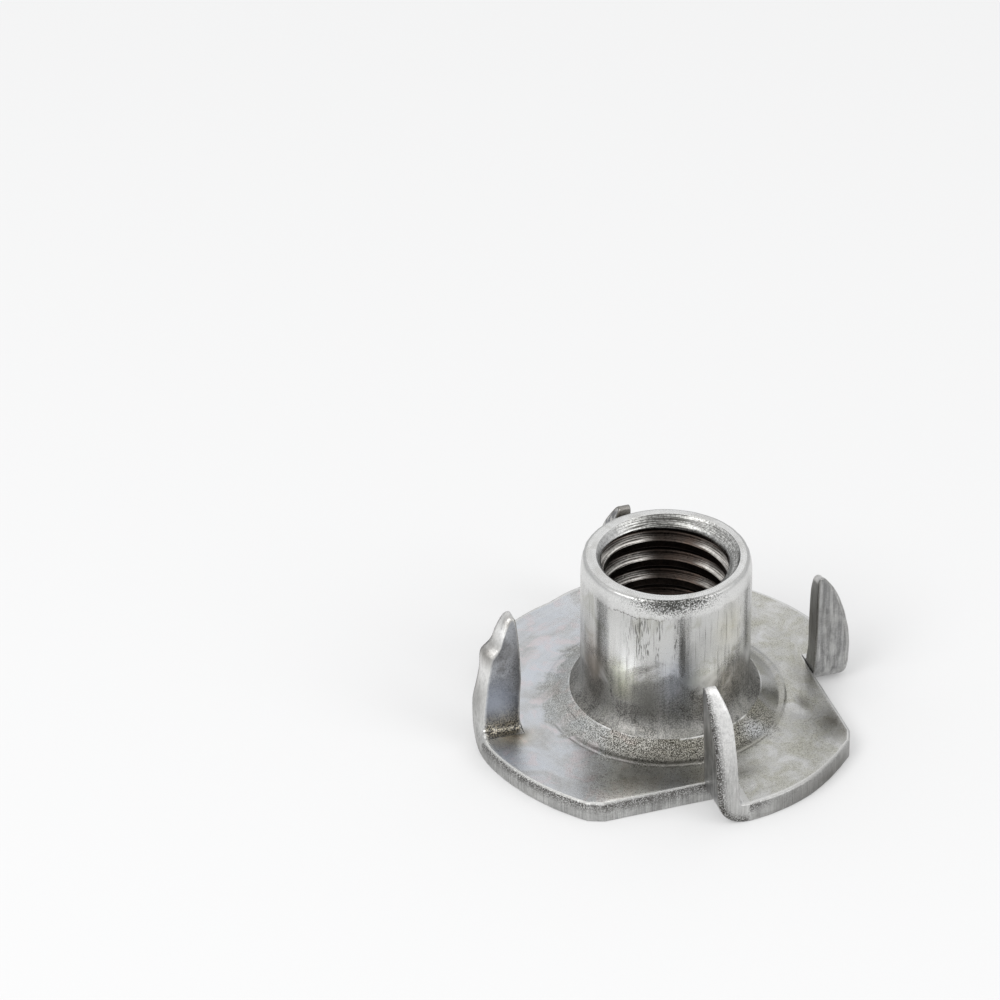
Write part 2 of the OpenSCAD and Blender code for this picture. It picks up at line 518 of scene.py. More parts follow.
    def thread(self) -> tuple[Array, Array]:
        """The bore from its chamfer down to the funnel's throat, with the thread in it.

        Rows follow the thread's helix, so each row keeps its place on the thread's
        profile. Rows that would pass the top or the bottom stay on that circle, where
        they weld. The radius is the thread's profile (crest flat, straight flank, root
        flat), faded in above the throat, or the chamfer or lead-in cone where that is wider.

        Returns:
            The grid, and its traits: painted light on the flanks that face up, fresh on the
                chamfer.
        """
        top, low, pitch = self.nut_h - self.chamfer_drop, self.thread_low, self.pitch
        start = self.crest_at_back + pitch * ((SLIT_ANGLE - self.back_angle) / math.tau)
        first = math.floor((low - start) / pitch) - 2
        last = math.ceil((top - start) / pitch) + 1
        turn_of_row = np.add.outer(np.arange(first, last + 1), self.row_shares)
        turn_of_row = turn_of_row.reshape(-1)[::-1, None]
        share = np.arange(self.barrel_columns + 1)[None, :] / self.barrel_columns
        z = np.clip(start + pitch * (turn_of_row + share), low, top)
        turns = (z - start) / pitch - share
        above = turns - np.round(turns)
        half_crest, half_root = 0.5 * self.crest_flat, 0.5 * (pitch - self.root_flat)
        depth = (np.abs(above) * pitch - half_crest) / (half_root - half_crest)
        depth = np.clip(depth, 0, 1) * smooth(z, low + 0.25, low + 1.1)
        r = self.crest_r + (self.root_r - self.crest_r) * depth
        r = np.maximum(r, self.chamfer_r - self.chamfer_slope * (top - z))
        r = np.maximum(r, self.lead_in_r(z))
        chamfer = smooth(z, self.nut_h - 0.66, self.nut_h - 0.5)
        # Painted light on the upward flanks, none on the chamfer
        traits = joined(read(self.rubbed_and_lit, above) * (1 - chamfer), 0.0, chamfer)
        return polar(r, ring_angles(self.barrel_columns), z), traits

    def build_into(self, mesh: SheetMetalMesh) -> None:
        """Adds all the turned grids, from the sheet's top round to its underside.

        Args:
            mesh: The mesh that takes them.
        """
        wide, slim = self.flange_columns, self.barrel_columns
        mesh.add_grid(turned(self.skirt_profile(), wide, halved_row=-1), Skin.FLANGE)
        mesh.add_grid(turned(self.fillet_profile(), slim), Skin.BARREL)
        barrel = turned(self.barrel_profile(), slim)
        lip = len(barrel) - 8
        mesh.add_grid(barrel[: lip + 1], Skin.BARREL)
        mesh.add_grid(barrel[lip:], Skin.FACED)
        bore, traits = self.thread()
        mesh.add_grid(bore, Skin.THREAD, traits)
        mesh.add_grid(turned(self.bell_profile(), slim), Skin.UNDERSIDE)
        mesh.add_grid(turned(self.underside_profile(), wide, halved_row=0), Skin.UNDERSIDE)


# -- The sheet round the body: four cuts, four folded prongs, one sheared edge --


class Run(Enum):
    """The runs of one lobe's outline, in the order in which it is walked."""

    INNER = 0
    TIP = 1
    OUTER = 2
    ARC = 3
    FACET = 4
    CUT = 5


# Width and height of the top edge's rounding, then of the underside's, and how much of
# the top one is a straight bevel; then the share of all of them that is left at a slit
EDGE_SIZES = {
    Run.INNER: (0.08, 0.08, 0.1, 0.1, 0.0),
    Run.ARC: (0.18, 0.13, 0.09, 0.28, 0.0),
    Run.FACET: (0.16, 0.12, 0.08, 0.15, 0.0),
    Run.CUT: (0.18, 0.12, 0.1, 0.1, 0.0),
}
SLIT_SHARE = 0.12


@dataclass(frozen=True)
class Prong:
    """One prong's own shape: how it leans and where its edges run.

    The edges are tables of (length along the bent sheet from the fold, distance from
    the axis), and the tip closes them. The rim's rows are a length and the outer edge's
    sizes there, as in EDGE_SIZES. The swell is how far the inner edge stands in on the
    top face, by length. The bevel is how much lower the tip ends on its inside. The turn
    is in radians and the lean in degrees.
    """

    turn: float
    lean: float = 0.0
    # Grime and painted shade in the crease at the fold's foot, on the top face
    grime_and_shade: float = 0.0
    bevel: float = 0.0
    thinning: float = 0.55
    rim: Table = ((0.0, 0.12, 0.1, 0.22, 0.3, 0.0), (7.7, 0.1, 0.08, 0.12, 0.1, 0.0))
    inner: Table = ((0.03, 8.515), (1.4, 8.52), (3.0, 8.59))
    tip: Table = ((7.7, 8.64), (7.87, 8.69), (7.97, 8.8), (7.98, 8.92), (7.92, 9.05), (7.76, 9.2))
    outer: Table = (
        (7.76, 9.2), (7.3, 9.47), (6.8, 9.75), (6.1, 10.08), (5.4, 10.34), (4.6, 10.56),
        (3.8, 10.72), (2.9, 10.84), (1.9, 10.91), (0.9, 10.94), (0.0, 10.954),
    )
    swell: Table = ((0.3, 0.0), (2.2, 0.14), (3.6, 0.2), (5.6, 0.14), (7.6, 0.0))

    def axes(self) -> tuple[Array, Array]:
        """Outward and clockwise unit directions of the prong's lobe on the flange."""
        c, s = math.cos(self.turn), math.sin(self.turn)
        return np.array([c, s]), np.array([s, -c])

    def in_space(self, u: Lengths, v: Lengths, *height: Lengths) -> Array:
        """Points at distances clockwise and outward on the lobe, with a height if given."""
        out, along = self.axes()
        return joined(v * out[0] + u * along[0], v * out[1] + u * along[1], *height)

    def edge_sizes(self, run: Run, length: Array) -> Array:
        """Sizes of the edge's roundings along one run, which shrink towards a slit.

        Args:
            run: The run; a prong's outer edge reads its rim, and its tip leads up to it.
            length: Each point's length past the fold.

        Returns:
            The sizes, (points, 5).
        """
        share = np.linspace(0.0, 1.0, len(length))[:, None]
        sizes, rim = np.array(EDGE_SIZES.get(run, EDGE_SIZES[Run.INNER])), np.array(self.rim)
        if run is Run.OUTER:
            return joined(*(np.interp(length, rim[:, 0], size) for size in rim.T[1:]))
        if run is Run.TIP:
            return sizes * (1 - share) + rim[-1, 1:] * share
        if run is Run.INNER:
            return sizes * (SLIT_SHARE + (1 - SLIT_SHARE) * smooth(share, 0.02, 0.3))
        if run is Run.CUT:
            return sizes * (SLIT_SHARE + (1 - SLIT_SHARE) * smooth(1 - share, 0.0, 0.45))
        return np.tile(sizes, (len(length), 1))


# The four prongs, each with what its punch, its fold and handling made of it
FOUR_PRONGS = (
    Prong(
        turn=0.0,
        bevel=0.36,
        thinning=0.4,
        rim=((0.0, 0.12, 0.1, 0.4, 0.4, 0.0), (7.3, 0.1, 0.08, 0.12, 0.1, 0.0)),
        tip=((7.3, 8.64), (7.47, 8.69), (7.57, 8.79), (7.58, 8.91), (7.52, 9.03), (7.36, 9.16)),
        outer=(
            (7.36, 9.16), (6.83, 9.56), (6.1, 9.92), (5.0, 10.31), (3.7, 10.6), (2.7, 10.7),
            (1.9, 10.68), (1.1, 10.67), (0.5, 10.78), (0.0, 10.954),
        ),
        swell=((0.3, 0.0), (1.6, 0.0), (2.3, -0.05), (3.6, 0.0), (5.6, -0.02), (7.3, -0.06)),
    ),
    Prong(turn=0.5 * math.pi, lean=1.8),
    Prong(
        turn=math.pi,
        lean=3.8,
        grime_and_shade=0.9,
        thinning=0.4,
        rim=(
            (0.0, 0.3, 0.4, 0.12, 0.14, 0.6), (2.4, 0.36, 0.7, 0.12, 0.14, 0.85),
            (3.1, 0.4, 0.75, 0.12, 0.14, 0.85), (3.7, 0.32, 0.7, 0.12, 0.14, 0.85),
            (4.4, 0.22, 0.6, 0.12, 0.14, 0.85), (5.05, 0.26, 0.6, 0.12, 0.14, 0.85),
            (5.6, 0.34, 0.62, 0.12, 0.14, 0.85), (6.0, 0.4, 0.62, 0.12, 0.14, 0.85),
            (6.25, 0.32, 0.6, 0.12, 0.14, 0.85), (6.6, 0.22, 0.5, 0.12, 0.14, 0.85),
            (7.7, 0.22, 0.3, 0.1, 0.1, 0.6),
        ),
        inner=((0.03, 8.515), (1.4, 8.52), (3.0, 8.54)),
        tip=((7.7, 8.48), (7.88, 8.52), (7.98, 8.62), (7.99, 8.78), (7.9, 8.95), (7.72, 9.1)),
        outer=(
            (7.72, 9.1), (7.38, 9.33), (6.95, 9.55), (6.52, 9.7), (6.25, 10.02), (6.03, 10.36),
            (5.6, 10.42), (5.05, 10.42), (4.35, 10.56), (3.67, 10.72), (3.07, 10.88),
            (2.4, 10.92), (1.2, 10.94), (0.0, 10.954),
        ),
        swell=((0.3, 0.0), (2.4, 0.0), (4.2, 0.14), (6.0, 0.08), (7.7, 0.0)),
    ),
    Prong(
        turn=1.5 * math.pi,
        lean=2.0,
        rim=((0.0, 0.1, 0.1, 0.12, 0.34, 0.0), (7.7, 0.1, 0.08, 0.12, 0.14, 0.0)),
    ),
)


@dataclass(frozen=True)
class Outline:
    """The closed outline of the flat blank and what its edge is like at each point."""

    points: Array
    outward: Array
    sizes: Array
    lobe: Array
    run: Array
    length: Array

    def inset(self, column: int) -> Array:
        """The outline moved in by the rounding width in that column of sizes."""
        return self.points - self.outward * self.sizes[:, column : column + 1]


@dataclass(frozen=True)
class Face:
    """One face of the sheet: its border in space and in the flat blank, and its height."""

    border: Array
    flat: Array
    depth: float
    under: bool


@dataclass
class PunchedSheet:
    """The flange outside seat_r with its prongs, between the drawn body's two faces."""

    seat_r: float = 7.6
    sheet_t: float = 1.2
    outer_r: float = 11.0
    cut_v: float = 8.5
    fold_u: float = -1.0
    fold_out_r: float = 1.8
    fold_in_r: float = 0.25
    fold_power: float = 0.85
    prong_face: float = 0.8
    prong_h: float = 7.9
    tip_slope: float = 2.0
    tip_power: float = 1.6
    swell_ebb: tuple[float, float] = (8.7, 9.5)
    bevel_rise: tuple[float, float] = (5.9, 7.5)
    lean_rise: tuple[float, float] = (0.3, 2.2)
    crease_reach: float = 0.55
    slit_r: float = 0.012
    corner_angle: float = math.radians(39.4)
    corner_flat: float = 1.0
    columns: int = 96
    arc_cells: int = 50
    width_cells: int = 14
    height_cells: int = 56
    slit_cells: int = 3
    ring_rows: int = 10
    grading: float = 1.25
    prongs: tuple[Prong, ...] = FOUR_PRONGS

    # -- The bent sheet --

    def fold(self, prong: Prong, u: Array, v: Array, depth: Lengths) -> Array:
        """Bends flat sheet up at the fold line and thins it towards the tip.

        A point at length s past the fold goes to the blend, by its depth in the sheet,
        of two paths: the outer one turns a quarter circle of fold_out_r and rises, the
        inner one runs on, turns a quarter circle of fold_in_r and rises. Both are then
        leant outwards in proportion to their height above the fold.

        Args:
            prong: The prong that the points belong to.
            u, v: Distances clockwise along the lobe and outward from the axis.
            depth: Height in the sheet, 0 at the underside, sheet_t at the top.

        Returns:
            The points in space, with a last axis of 3.
        """
        fold_u, power, in_r = self.fold_u, self.fold_power, self.fold_in_r
        s = np.maximum(u - fold_u, 0.0)
        bend = QUARTER * (0.5 * (2 * self.fold_out_r - self.sheet_t))
        share = np.clip(s / bend, 0.0, 1.0)
        above = np.maximum(s - bend, 0.0)
        outer_u = fold_u + self.fold_out_r * np.sin(QUARTER * share) ** power
        outer_z = self.fold_out_r * (1 - np.cos(QUARTER * share) ** power) + above
        run = self.prong_face - self.sheet_t - in_r - fold_u
        arc = QUARTER * in_r
        path = share * (run + arc + (self.fold_out_r - self.sheet_t - in_r))
        crease = np.clip((path - run) / in_r, 0.0, QUARTER)
        inner_u = fold_u + np.minimum(path, run) + in_r * np.sin(crease)
        inner_z = self.sheet_t + in_r * (1 - np.cos(crease))
        inner_z += np.maximum(path - run - arc, 0.0) + above
        slope = np.clip((inner_z - self.prong_h + self.tip_slope) / self.tip_slope, 0, 1)
        inner_u += prong.thinning * slope**self.tip_power
        mix = depth / self.sheet_t
        v = v - read(prong.swell, s) * mix * (1.0 - smooth(v, *self.swell_ebb))
        bent_u = outer_u + (inner_u - outer_u) * mix
        bent_z = outer_z + (inner_z - outer_z) * mix
        bent_z = bent_z - prong.bevel * mix * smooth(s, *self.bevel_rise)
        height = bent_z - 0.5 * self.sheet_t
        lean = math.tan(math.radians(prong.lean))
        bent_u = bent_u + lean * height * smooth(s, *self.lean_rise)
        flat = u <= fold_u
        return prong.in_space(np.where(flat, u, bent_u), v, np.where(flat, depth, bent_z))

    def lay(self, xy: Array, depth: Lengths, lobe: int = -1) -> Array:
        """Puts flat points at a height in the sheet, bent if they belong to a prong.

        Args:
            xy: Flat points, with a last axis of 2.
            depth: Height in the sheet.
            lobe: Number of their prong, or -1 for the flange.

        Returns:
            The points in space, with a last axis of 3.
        """
        if lobe < 0:
            return joined(xy[..., 0], xy[..., 1], depth)
        out, along = self.prongs[lobe].axes()
        return self.fold(self.prongs[lobe], xy @ along, xy @ out, depth)

    # -- The outline of the flat blank --

    def slit_end(self, prong: Prong, first: float, last: float) -> Array:
        """Points on the small half circle that ends a slit.

        Args:
            prong: The prong beside the slit.
            first, last: Angles of the two ends, from the prong's side.

        Returns:
            Flat points, (slit_cells + 1, 2).
        """
        sweep = np.linspace(first, last, self.slit_cells + 1)
        u = self.fold_u + self.slit_r - self.slit_r * np.sin(sweep)
        return prong.in_space(u, self.cut_v + 0.01 + self.slit_r * np.cos(sweep))

    def prong_runs(self, prong: Prong) -> list[Array]:
        """Outline of one prong, laid flat.

        Args:
            prong: The prong.

        Returns:
            Its inner edge, its tip and its outer edge.
        """
        tables = (prong.inner + prong.tip[:1], prong.tip, prong.outer)
        runs = [np.array(table).T for table in tables]
        inner, tip, outer = (prong.in_space(s + self.fold_u, v) for s, v in runs)
        end = self.slit_end(prong, QUARTER, 0.0)[:-1]
        inner = resampled(inner, self.height_cells - self.slit_cells, self.grading)
        tip, outer = resampled(tip, self.width_cells), resampled(outer, self.height_cells)
        return [np.concatenate([end, inner]), tip, outer]

    def flange_runs(self, prong: Prong, following: Prong) -> list[Array]:
        """Outline of the flange from one prong's fold to the next prong's slit.

        Args:
            prong, following: The two prongs.

        Returns:
            The arc of the rim, the facet that blunts the corner, and the cut.
        """
        half, blunt = 0.5 * self.corner_angle, 0.5 * self.corner_flat
        reach = self.outer_r * math.cos(half) - blunt * math.tan(half)
        side = self.outer_r * math.sin(half) - blunt
        facet = np.array([[reach, -math.sqrt(self.outer_r**2 - reach**2)], [reach, -side]])
        c, s = math.cos(following.turn - half), math.sin(following.turn - half)
        facet = facet @ np.array([[c, s], [-s, c]])
        start = prong.turn + math.asin(-self.fold_u / self.outer_r)
        stop = math.atan2(facet[0, 1], facet[0, 0]) % math.tau
        arc = polar(self.outer_r, np.linspace(start, stop, self.arc_cells + 1))
        end = self.slit_end(following, math.pi, QUARTER)
        cells = self.columns - self.arc_cells - self.slit_cells
        cut = resampled(np.stack([end[0], facet[1]]), cells, self.grading)[::-1]
        return [arc, resampled(facet, self.width_cells), np.concatenate([cut, end[1:]])]

    def walk_outline(self) -> Outline:
        """Joins the runs of all four lobes into one closed loop with the sheet on its left.

        Returns:
            The loop's points, outward directions, rounding sizes, lobes, runs and lengths.
        """
        parts = []
        for number, prong in enumerate(self.prongs):
            following = self.prongs[(number + 1) % len(self.prongs)]
            runs = self.prong_runs(prong) + self.flange_runs(prong, following)
            for run, points in zip(Run, runs):
                points = points[:-1]
                lobe = number if run in (Run.INNER, Run.TIP, Run.OUTER) else -1
                length = points @ prong.axes()[1] - self.fold_u
                marks = (np.full(len(points), mark) for mark in (lobe, run.value))
                parts.append((points, prong.edge_sizes(run, length), *marks, length))
        points, sizes, *marks = map(np.concatenate, zip(*parts))
        tangent = np.roll(points, -1, axis=0) - np.roll(points, 1, axis=0)
        tangent /= np.linalg.norm(tangent, axis=1, keepdims=True)
        for _ in range(6):
            sizes = 0.25 * np.roll(sizes, 1, 0) + 0.5 * sizes + 0.25 * np.roll(sizes, -1, 0)
        return Outline(points, joined(tangent[:, 1], -tangent[:, 0]), sizes, *marks)

    # -- The sheared edge and the two faces --

    def edge_band(self, outline: Outline) -> Array:
        """The sheared edge: from the underside round its roll, up the wall, over the top edge.

        Each roll is a quarter ellipse of the outline's own width and height there, and
        the top one flattens towards a straight bevel.

        Args:
            outline: The blank's outline.

        Returns:
            The grid, (rows, points of the loop + 1, 3); its first and last rows are the
            borders of the underside and the top.
        """
        top_w, top_r, low_w, low_r, flat_top = outline.sizes.T
        low, high = (np.linspace(0.0, QUARTER, n)[:, None] for n in (5, 4))
        along, up, straight = 1 - np.cos(high), np.sin(high), 2 * high / math.pi
        up = up + (straight - up) * flat_top
        wall = np.array([[0.33], [0.67]])
        rolled, bevelled = 1 - np.sin(low), along + (straight - along) * flat_top
        inset = np.concatenate([low_w * rolled, 0 * low_w * wall, top_w * bevelled])
        height = [low_r * (1 - np.cos(low)), low_r + (self.sheet_t - top_r - low_r) * wall]
        height = np.concatenate([*height, self.sheet_t - top_r * (1 - up)])
        flat = outline.points - outline.outward * inset[..., None]
        rows = self.lay(flat, height)
        for lobe in range(len(self.prongs)):
            mine = outline.lobe == lobe
            rows[:, mine] = self.lay(flat[:, mine], height[:, mine], lobe)
        return np.concatenate([rows, rows[:, :1]], axis=1)

    def band_traits(self, outline: Outline) -> Array:
        """Traits of the sheared edge, by its rows and by the run of the outline.

        The top edge is rubbed and its rounding takes grime and painted shade. On a prong's
        rim the grime and painted shade lie on the underside's rounding instead, and the wall
        between is fresh.

        Args:
            outline: The blank's outline.

        Returns:
            The traits, one set for each point of the edge's grid.
        """
        on_top = np.array([0, 0, 0, 0, 0, 0, 0, 0, 0.1, 0.5, 1.0])
        stipple = np.array([0, 0, 0, 0, 0, 0.1, 0.7, 1.0, 1.0, 0.6, 0.1])
        below = np.array([0.4, 1.0, 1.0, 1.0, 0.7, 0.1, 0, 0, 0, 0, 0])
        wall = np.array([0, 0, 0, 0.1, 0.6, 1.0, 1.0, 1.0, 1.0, 0.8, 0.5])
        traits = {
            Run.INNER: (0.2 * on_top, below, 0 * wall),
            Run.TIP: (0.6 * on_top, 0.5 * below, wall),
            Run.OUTER: (0.5 * on_top, below, wall),
            Run.ARC: (on_top, stipple, 0 * wall),
            Run.FACET: (on_top, 0.7 * stipple, 0 * wall),
            Run.CUT: (0.7 * on_top, 0.9 * stipple, 0 * wall),
        }
        traits = np.array([traits[run] for run in Run])[outline.run].transpose(2, 0, 1)
        traits[..., 2] *= 0.15 + 0.85 * smooth(outline.length, 2.0, 6.0)
        traits[..., 1] *= 1.0 - 0.8 * smooth(outline.points[:, 0], 1.0, 3.0)
        return np.concatenate([traits, traits[:, :1]], axis=1)

    def build_into(self, mesh: SheetMetalMesh) -> None:
        """Adds the sheared edge, then the prongs, petals and inner ring of both faces.

        Args:
            mesh: The mesh that takes them.
        """
        outline = self.walk_outline()
        band = self.edge_band(outline)
        mesh.add_grid(band, Skin.SHEARED, self.band_traits(outline))
        top = Face(band[-1], outline.inset(0), self.sheet_t, under=False)
        underside = Face(band[0], outline.inset(2), 0.0, under=True)
        for face in (top, underside):
            for lobe in range(len(self.prongs)):
                self.add_lobe(mesh, lobe, face)

    def add_lobe(self, mesh: SheetMetalMesh, lobe: int, face: Face) -> None:
        """Adds one prong, one petal and their part of the inner ring, on one face.

        Args:
            mesh: The mesh that takes the grids.
            lobe: Number of the prong.
            face: The face that they lie on.
        """
        border, flat, depth, under = face.border, face.flat, face.depth, face.under
        m, w, a = self.height_cells, self.width_cells, self.arc_cells
        cells = (m, w, m, a, w, self.columns - a)
        stops = np.cumsum((0, *cells)) + lobe * sum(cells)
        runs = [np.arange(i, j + 1) % len(flat) for i, j in zip(stops, stops[1:])]
        inner, tip, outer, arc, facet, cut = runs
        outer = outer[::-1]
        grime_and_shade = 0.0 if under else self.prongs[lobe].grime_and_shade
        share = np.linspace(0.0, 1.0, w + 1)[:, None]
        fold_line = flat[inner[0]] * (1 - share) + flat[arc[0]] * share
        fold_space = self.lay(fold_line, depth, lobe)

        blade = self.lay(patch(flat[inner], flat[outer], fold_line, flat[tip]), depth, lobe)
        blade[:, 0], blade[:, -1] = fold_space, border[tip]
        blade[0], blade[-1] = border[inner], border[outer]
        # Crease grime with painted shade
        traits = grime_and_shade * self.crease_share(blade, lobe)
        mesh.add_grid(blade, Skin.PRONG if under else Skin.HOLLOW, traits, turned=under)

        middle = self.middle_line(flat[inner[0]], flat[cut[0]])
        petal = self.lay(patch(flat[arc], middle, fold_line[::-1], flat[facet]), depth)
        petal[0], petal[:, -1] = border[arc], border[facet]
        petal[:, 0] = fold_space[::-1]
        petal[0, 0], petal[-1, 0] = border[arc[0]], border[inner[0]]
        skin = Skin.UNDERSIDE if under else Skin.FLANGE
        traits = 0.5 * grime_and_shade * self.crease_share(petal, lobe)
        mesh.add_grid(petal, skin, traits, turned=under)

        rim = np.concatenate([middle, flat[cut][1:]])
        angle = ring_angles(4 * self.columns)[lobe * self.columns :][: self.columns + 1]
        rows = np.linspace(0.0, 1.0, self.ring_rows)[:, None, None]
        ring = self.lay(rim * (1 - rows) + polar(self.seat_r, angle) * rows, depth)
        ring[0, : a + 1] = petal[-1]
        ring[0, a:] = border[cut]
        mesh.add_grid(ring, skin, turned=under)

    def crease_share(self, grid: Array, lobe: int) -> Array:
        """Traits for grime and painted shade that gather in the crease of a fold and fade away
        from it.

        Args:
            grid: Points in space, (m, n, 3).
            lobe: Number of the prong.

        Returns:
            The traits, (m, n, 3).
        """
        out, along = self.prongs[lobe].axes()
        u, v, z = grid[..., :2] @ along, grid[..., :2] @ out, grid[..., 2]
        wall_u = self.prong_face - self.sheet_t
        away = np.hypot(u - wall_u + 0.1, 0.7 * (z - self.sheet_t - 0.1))
        return joined(0, np.exp(-((away / self.crease_reach) ** 2)) * smooth(v, 8.0, 8.5), 0)

    def middle_line(self, start: Array, end: Array) -> Array:
        """Inner border of a petal: angle and radius both go evenly from start to end.

        Args:
            start, end: The two ends, flat.

        Returns:
            Flat points, (arc_cells + 1, 2).
        """
        share = np.linspace(0.0, 1.0, self.arc_cells + 1)
        first, last = math.atan2(start[1], start[0]), math.atan2(end[1], end[0])
        r = np.hypot(*start) + (np.hypot(*end) - np.hypot(*start)) * share
        return polar(r, first + (last - first) % math.tau * share)


# -- Shader wiring and the effects that several finishes share --

Socket = bpy.types.NodeSocket
Value = Socket | float | tuple[float, ...]
Colour = tuple[float, float, float]
# A mark on the steel: its centre, its half sizes and its share
Mark = tuple[Point, Point, float]


@dataclass
class Wires:
    """Short calls that add shader nodes to one tree and join them."""

    tree: bpy.types.NodeTree

    def add(self, kind: str, values: dict[str | int, Value], **settings: object) -> bpy.types.Node:
        """Adds a node, applies its settings and fills its inputs.

        Args:
            kind: Blender's name of the node type, without ShaderNode in front.
            values: A socket to link or a number to set, by input.
            **settings: Properties of the node.

        Returns:
            The node.
        """
        node = self.tree.nodes.new("ShaderNode" + kind)
        for name, setting in settings.items():
            setattr(node, name, setting)
        for key, value in values.items():
            self.fill(node.inputs[key], value)
        return node

    def fill(self, socket: Socket, value: Value) -> None:
        """Links a socket to an input, or sets the input's own number or colour.

        Args:
            socket: The input.
            value: What it takes.
        """
        if isinstance(value, Socket):
            self.tree.links.new(value, socket)
        elif isinstance(value, tuple) and socket.type == "RGBA":
            socket.default_value = (*value, 1.0)
        else:
            socket.default_value = value

    def math(self, operation: str, a: Value, b: Value = 0.0) -> Socket:
        """The result of a Math node."""
        return self.add("Math", {0: a, 1: b}, operation=operation).outputs[0]

    def product(self, *factors: Value) -> Value:
        """All factors multiplied."""
        return reduce(partial(self.math, "MULTIPLY"), factors)

    def plus(self, *terms: Value) -> Value:
        """All terms added."""
        return reduce(partial(self.math, "ADD"), terms)

    def swing(self, value: Value, weight: float) -> Socket:
        """A value about 0.5, moved to about 0 and weighted."""
        return self.product(self.math("SUBTRACT", value, 0.5), weight)

    def vector(self, operation: str, a: Value, b: Value = (0.0, 0.0, 0.0)) -> Socket:
        """The result of a Vector Math node.

        Args:
            operation: Blender's name of the operation.
            a, b: Its two values; SCALE takes a number as the second.

        Returns:
            The vector, or the number of LENGTH and DOT_PRODUCT.
        """
        second = "Scale" if operation == "SCALE" else 1
        node = self.add("VectorMath", {0: a, second: b}, operation=operation)
        return node.outputs["Value" if operation in ("LENGTH", "DOT_PRODUCT") else "Vector"]

    def combined(self, x: Value, y: Value, z: Value) -> Socket:
        """A vector of three values."""
        return self.add("CombineXYZ", {0: x, 1: y, 2: z}).outputs[0]

    def mask(self, value: Value, low: float, high: float) -> Socket:
        """Eases from 0 at low to 1 at high along 3t^2 - 2t^3.

        Args:
            value: What it reads.
            low, high: The two limits; low may be the larger one.

        Returns:
            The share, between 0 and 1.
        """
        start, end = (1.0, 0.0) if low > high else (0.0, 1.0)
        values = {"Value": value, "From Min": min(low, high), "From Max": max(low, high)}
        values |= {"To Min": start, "To Max": end}
        return self.add("MapRange", values, interpolation_type="SMOOTHSTEP").outputs["Result"]

    def band(self, value: Value, middle: float, width: float) -> Socket:
        """1 at middle, easing to 0 at width on either side."""
        return self.mask(self.math("ABSOLUTE", self.plus(value, -middle)), width, 0.0)

    def mix(self, share: Value, first: Value, second: Value) -> Socket:
        """Blends two colours."""
        return self.add("Mix", {0: share, 6: first, 7: second}, data_type="RGBA").outputs[2]

    def between(self, share: Value, first: Value, second: Value) -> Socket:
        """Blends two numbers."""
        return self.add("Mix", {0: share, 2: first, 3: second}, data_type="FLOAT").outputs[0]

    def noise(
        self, place: Value, detail: float = 2.0, roughness: float = 0.5, warp: float = 0.0
    ) -> Socket:
        """Blender's noise with one cell per unit of place.

        Args:
            place: Where it is read.
            detail, roughness: Number of finer layers and their weight.
            warp: How far it is distorted.

        Returns:
            The noise, about 0.5 on average.
        """
        values = {"Vector": place, "Scale": 1.0, "Detail": detail}
        values |= {"Roughness": roughness, "Distortion": warp}
        return self.add("TexNoise", values).outputs["Fac"]

    def placed(self) -> Socket:
        """Object coordinates in millimetres."""
        coordinates = self.add("TexCoord", {}).outputs["Object"]
        return self.vector("MULTIPLY", coordinates, (1000.0, 1000.0, 1000.0))

    def placed_by(self, size: Value) -> Socket:
        """Object coordinates in units of a size in millimetres."""
        return self.vector("SCALE", self.placed(), self.math("DIVIDE", 1.0, size))

    def place(self, tree: bpy.types.NodeTree, **values: Value) -> bpy.types.NodeOutputs:
        """Places a node group.

        Args:
            tree: The group.
            **values: What its inputs take.

        Returns:
            Its outputs.
        """
        node = self.add("Group", {}, node_tree=tree)
        for name, value in values.items():
            self.fill(node.inputs[name], value)
        return node.outputs


class Group(Wires):
    """The wiring of one node group, from its inputs to its outputs."""

    def __init__(self, name: str, **inputs: float) -> None:
        """Opens a new group.

        Args:
            name: Name of the group.
            **inputs: Its float inputs and their usual values.
        """
        super().__init__(bpy.data.node_groups.new(name, "ShaderNodeTree"))
        for key, value in inputs.items():
            self.new_socket(key, "INPUT", "Float").default_value = value
        self.given = self.tree.nodes.new("NodeGroupInput").outputs

    def new_socket(self, name: str, way: str, kind: str) -> bpy.types.NodeTreeInterfaceSocket:
        """Adds an input or an output to the group."""
        kind = "NodeSocket" + kind
        return self.tree.interface.new_socket(name, in_out=way, socket_type=kind)

    def closed(self, **outputs: Socket) -> bpy.types.NodeTree:
        """Gives the group its outputs.

        Args:
            **outputs: What each output gives, a vector or a float.

        Returns:
            The finished group.
        """
        for key, value in outputs.items():
            self.new_socket(key, "OUTPUT", "Vector" if value.type == "VECTOR" else "Float")
        end = self.tree.nodes.new("NodeGroupOutput")
        for key, value in outputs.items():
            self.fill(end.inputs[key], value)
        return self.tree


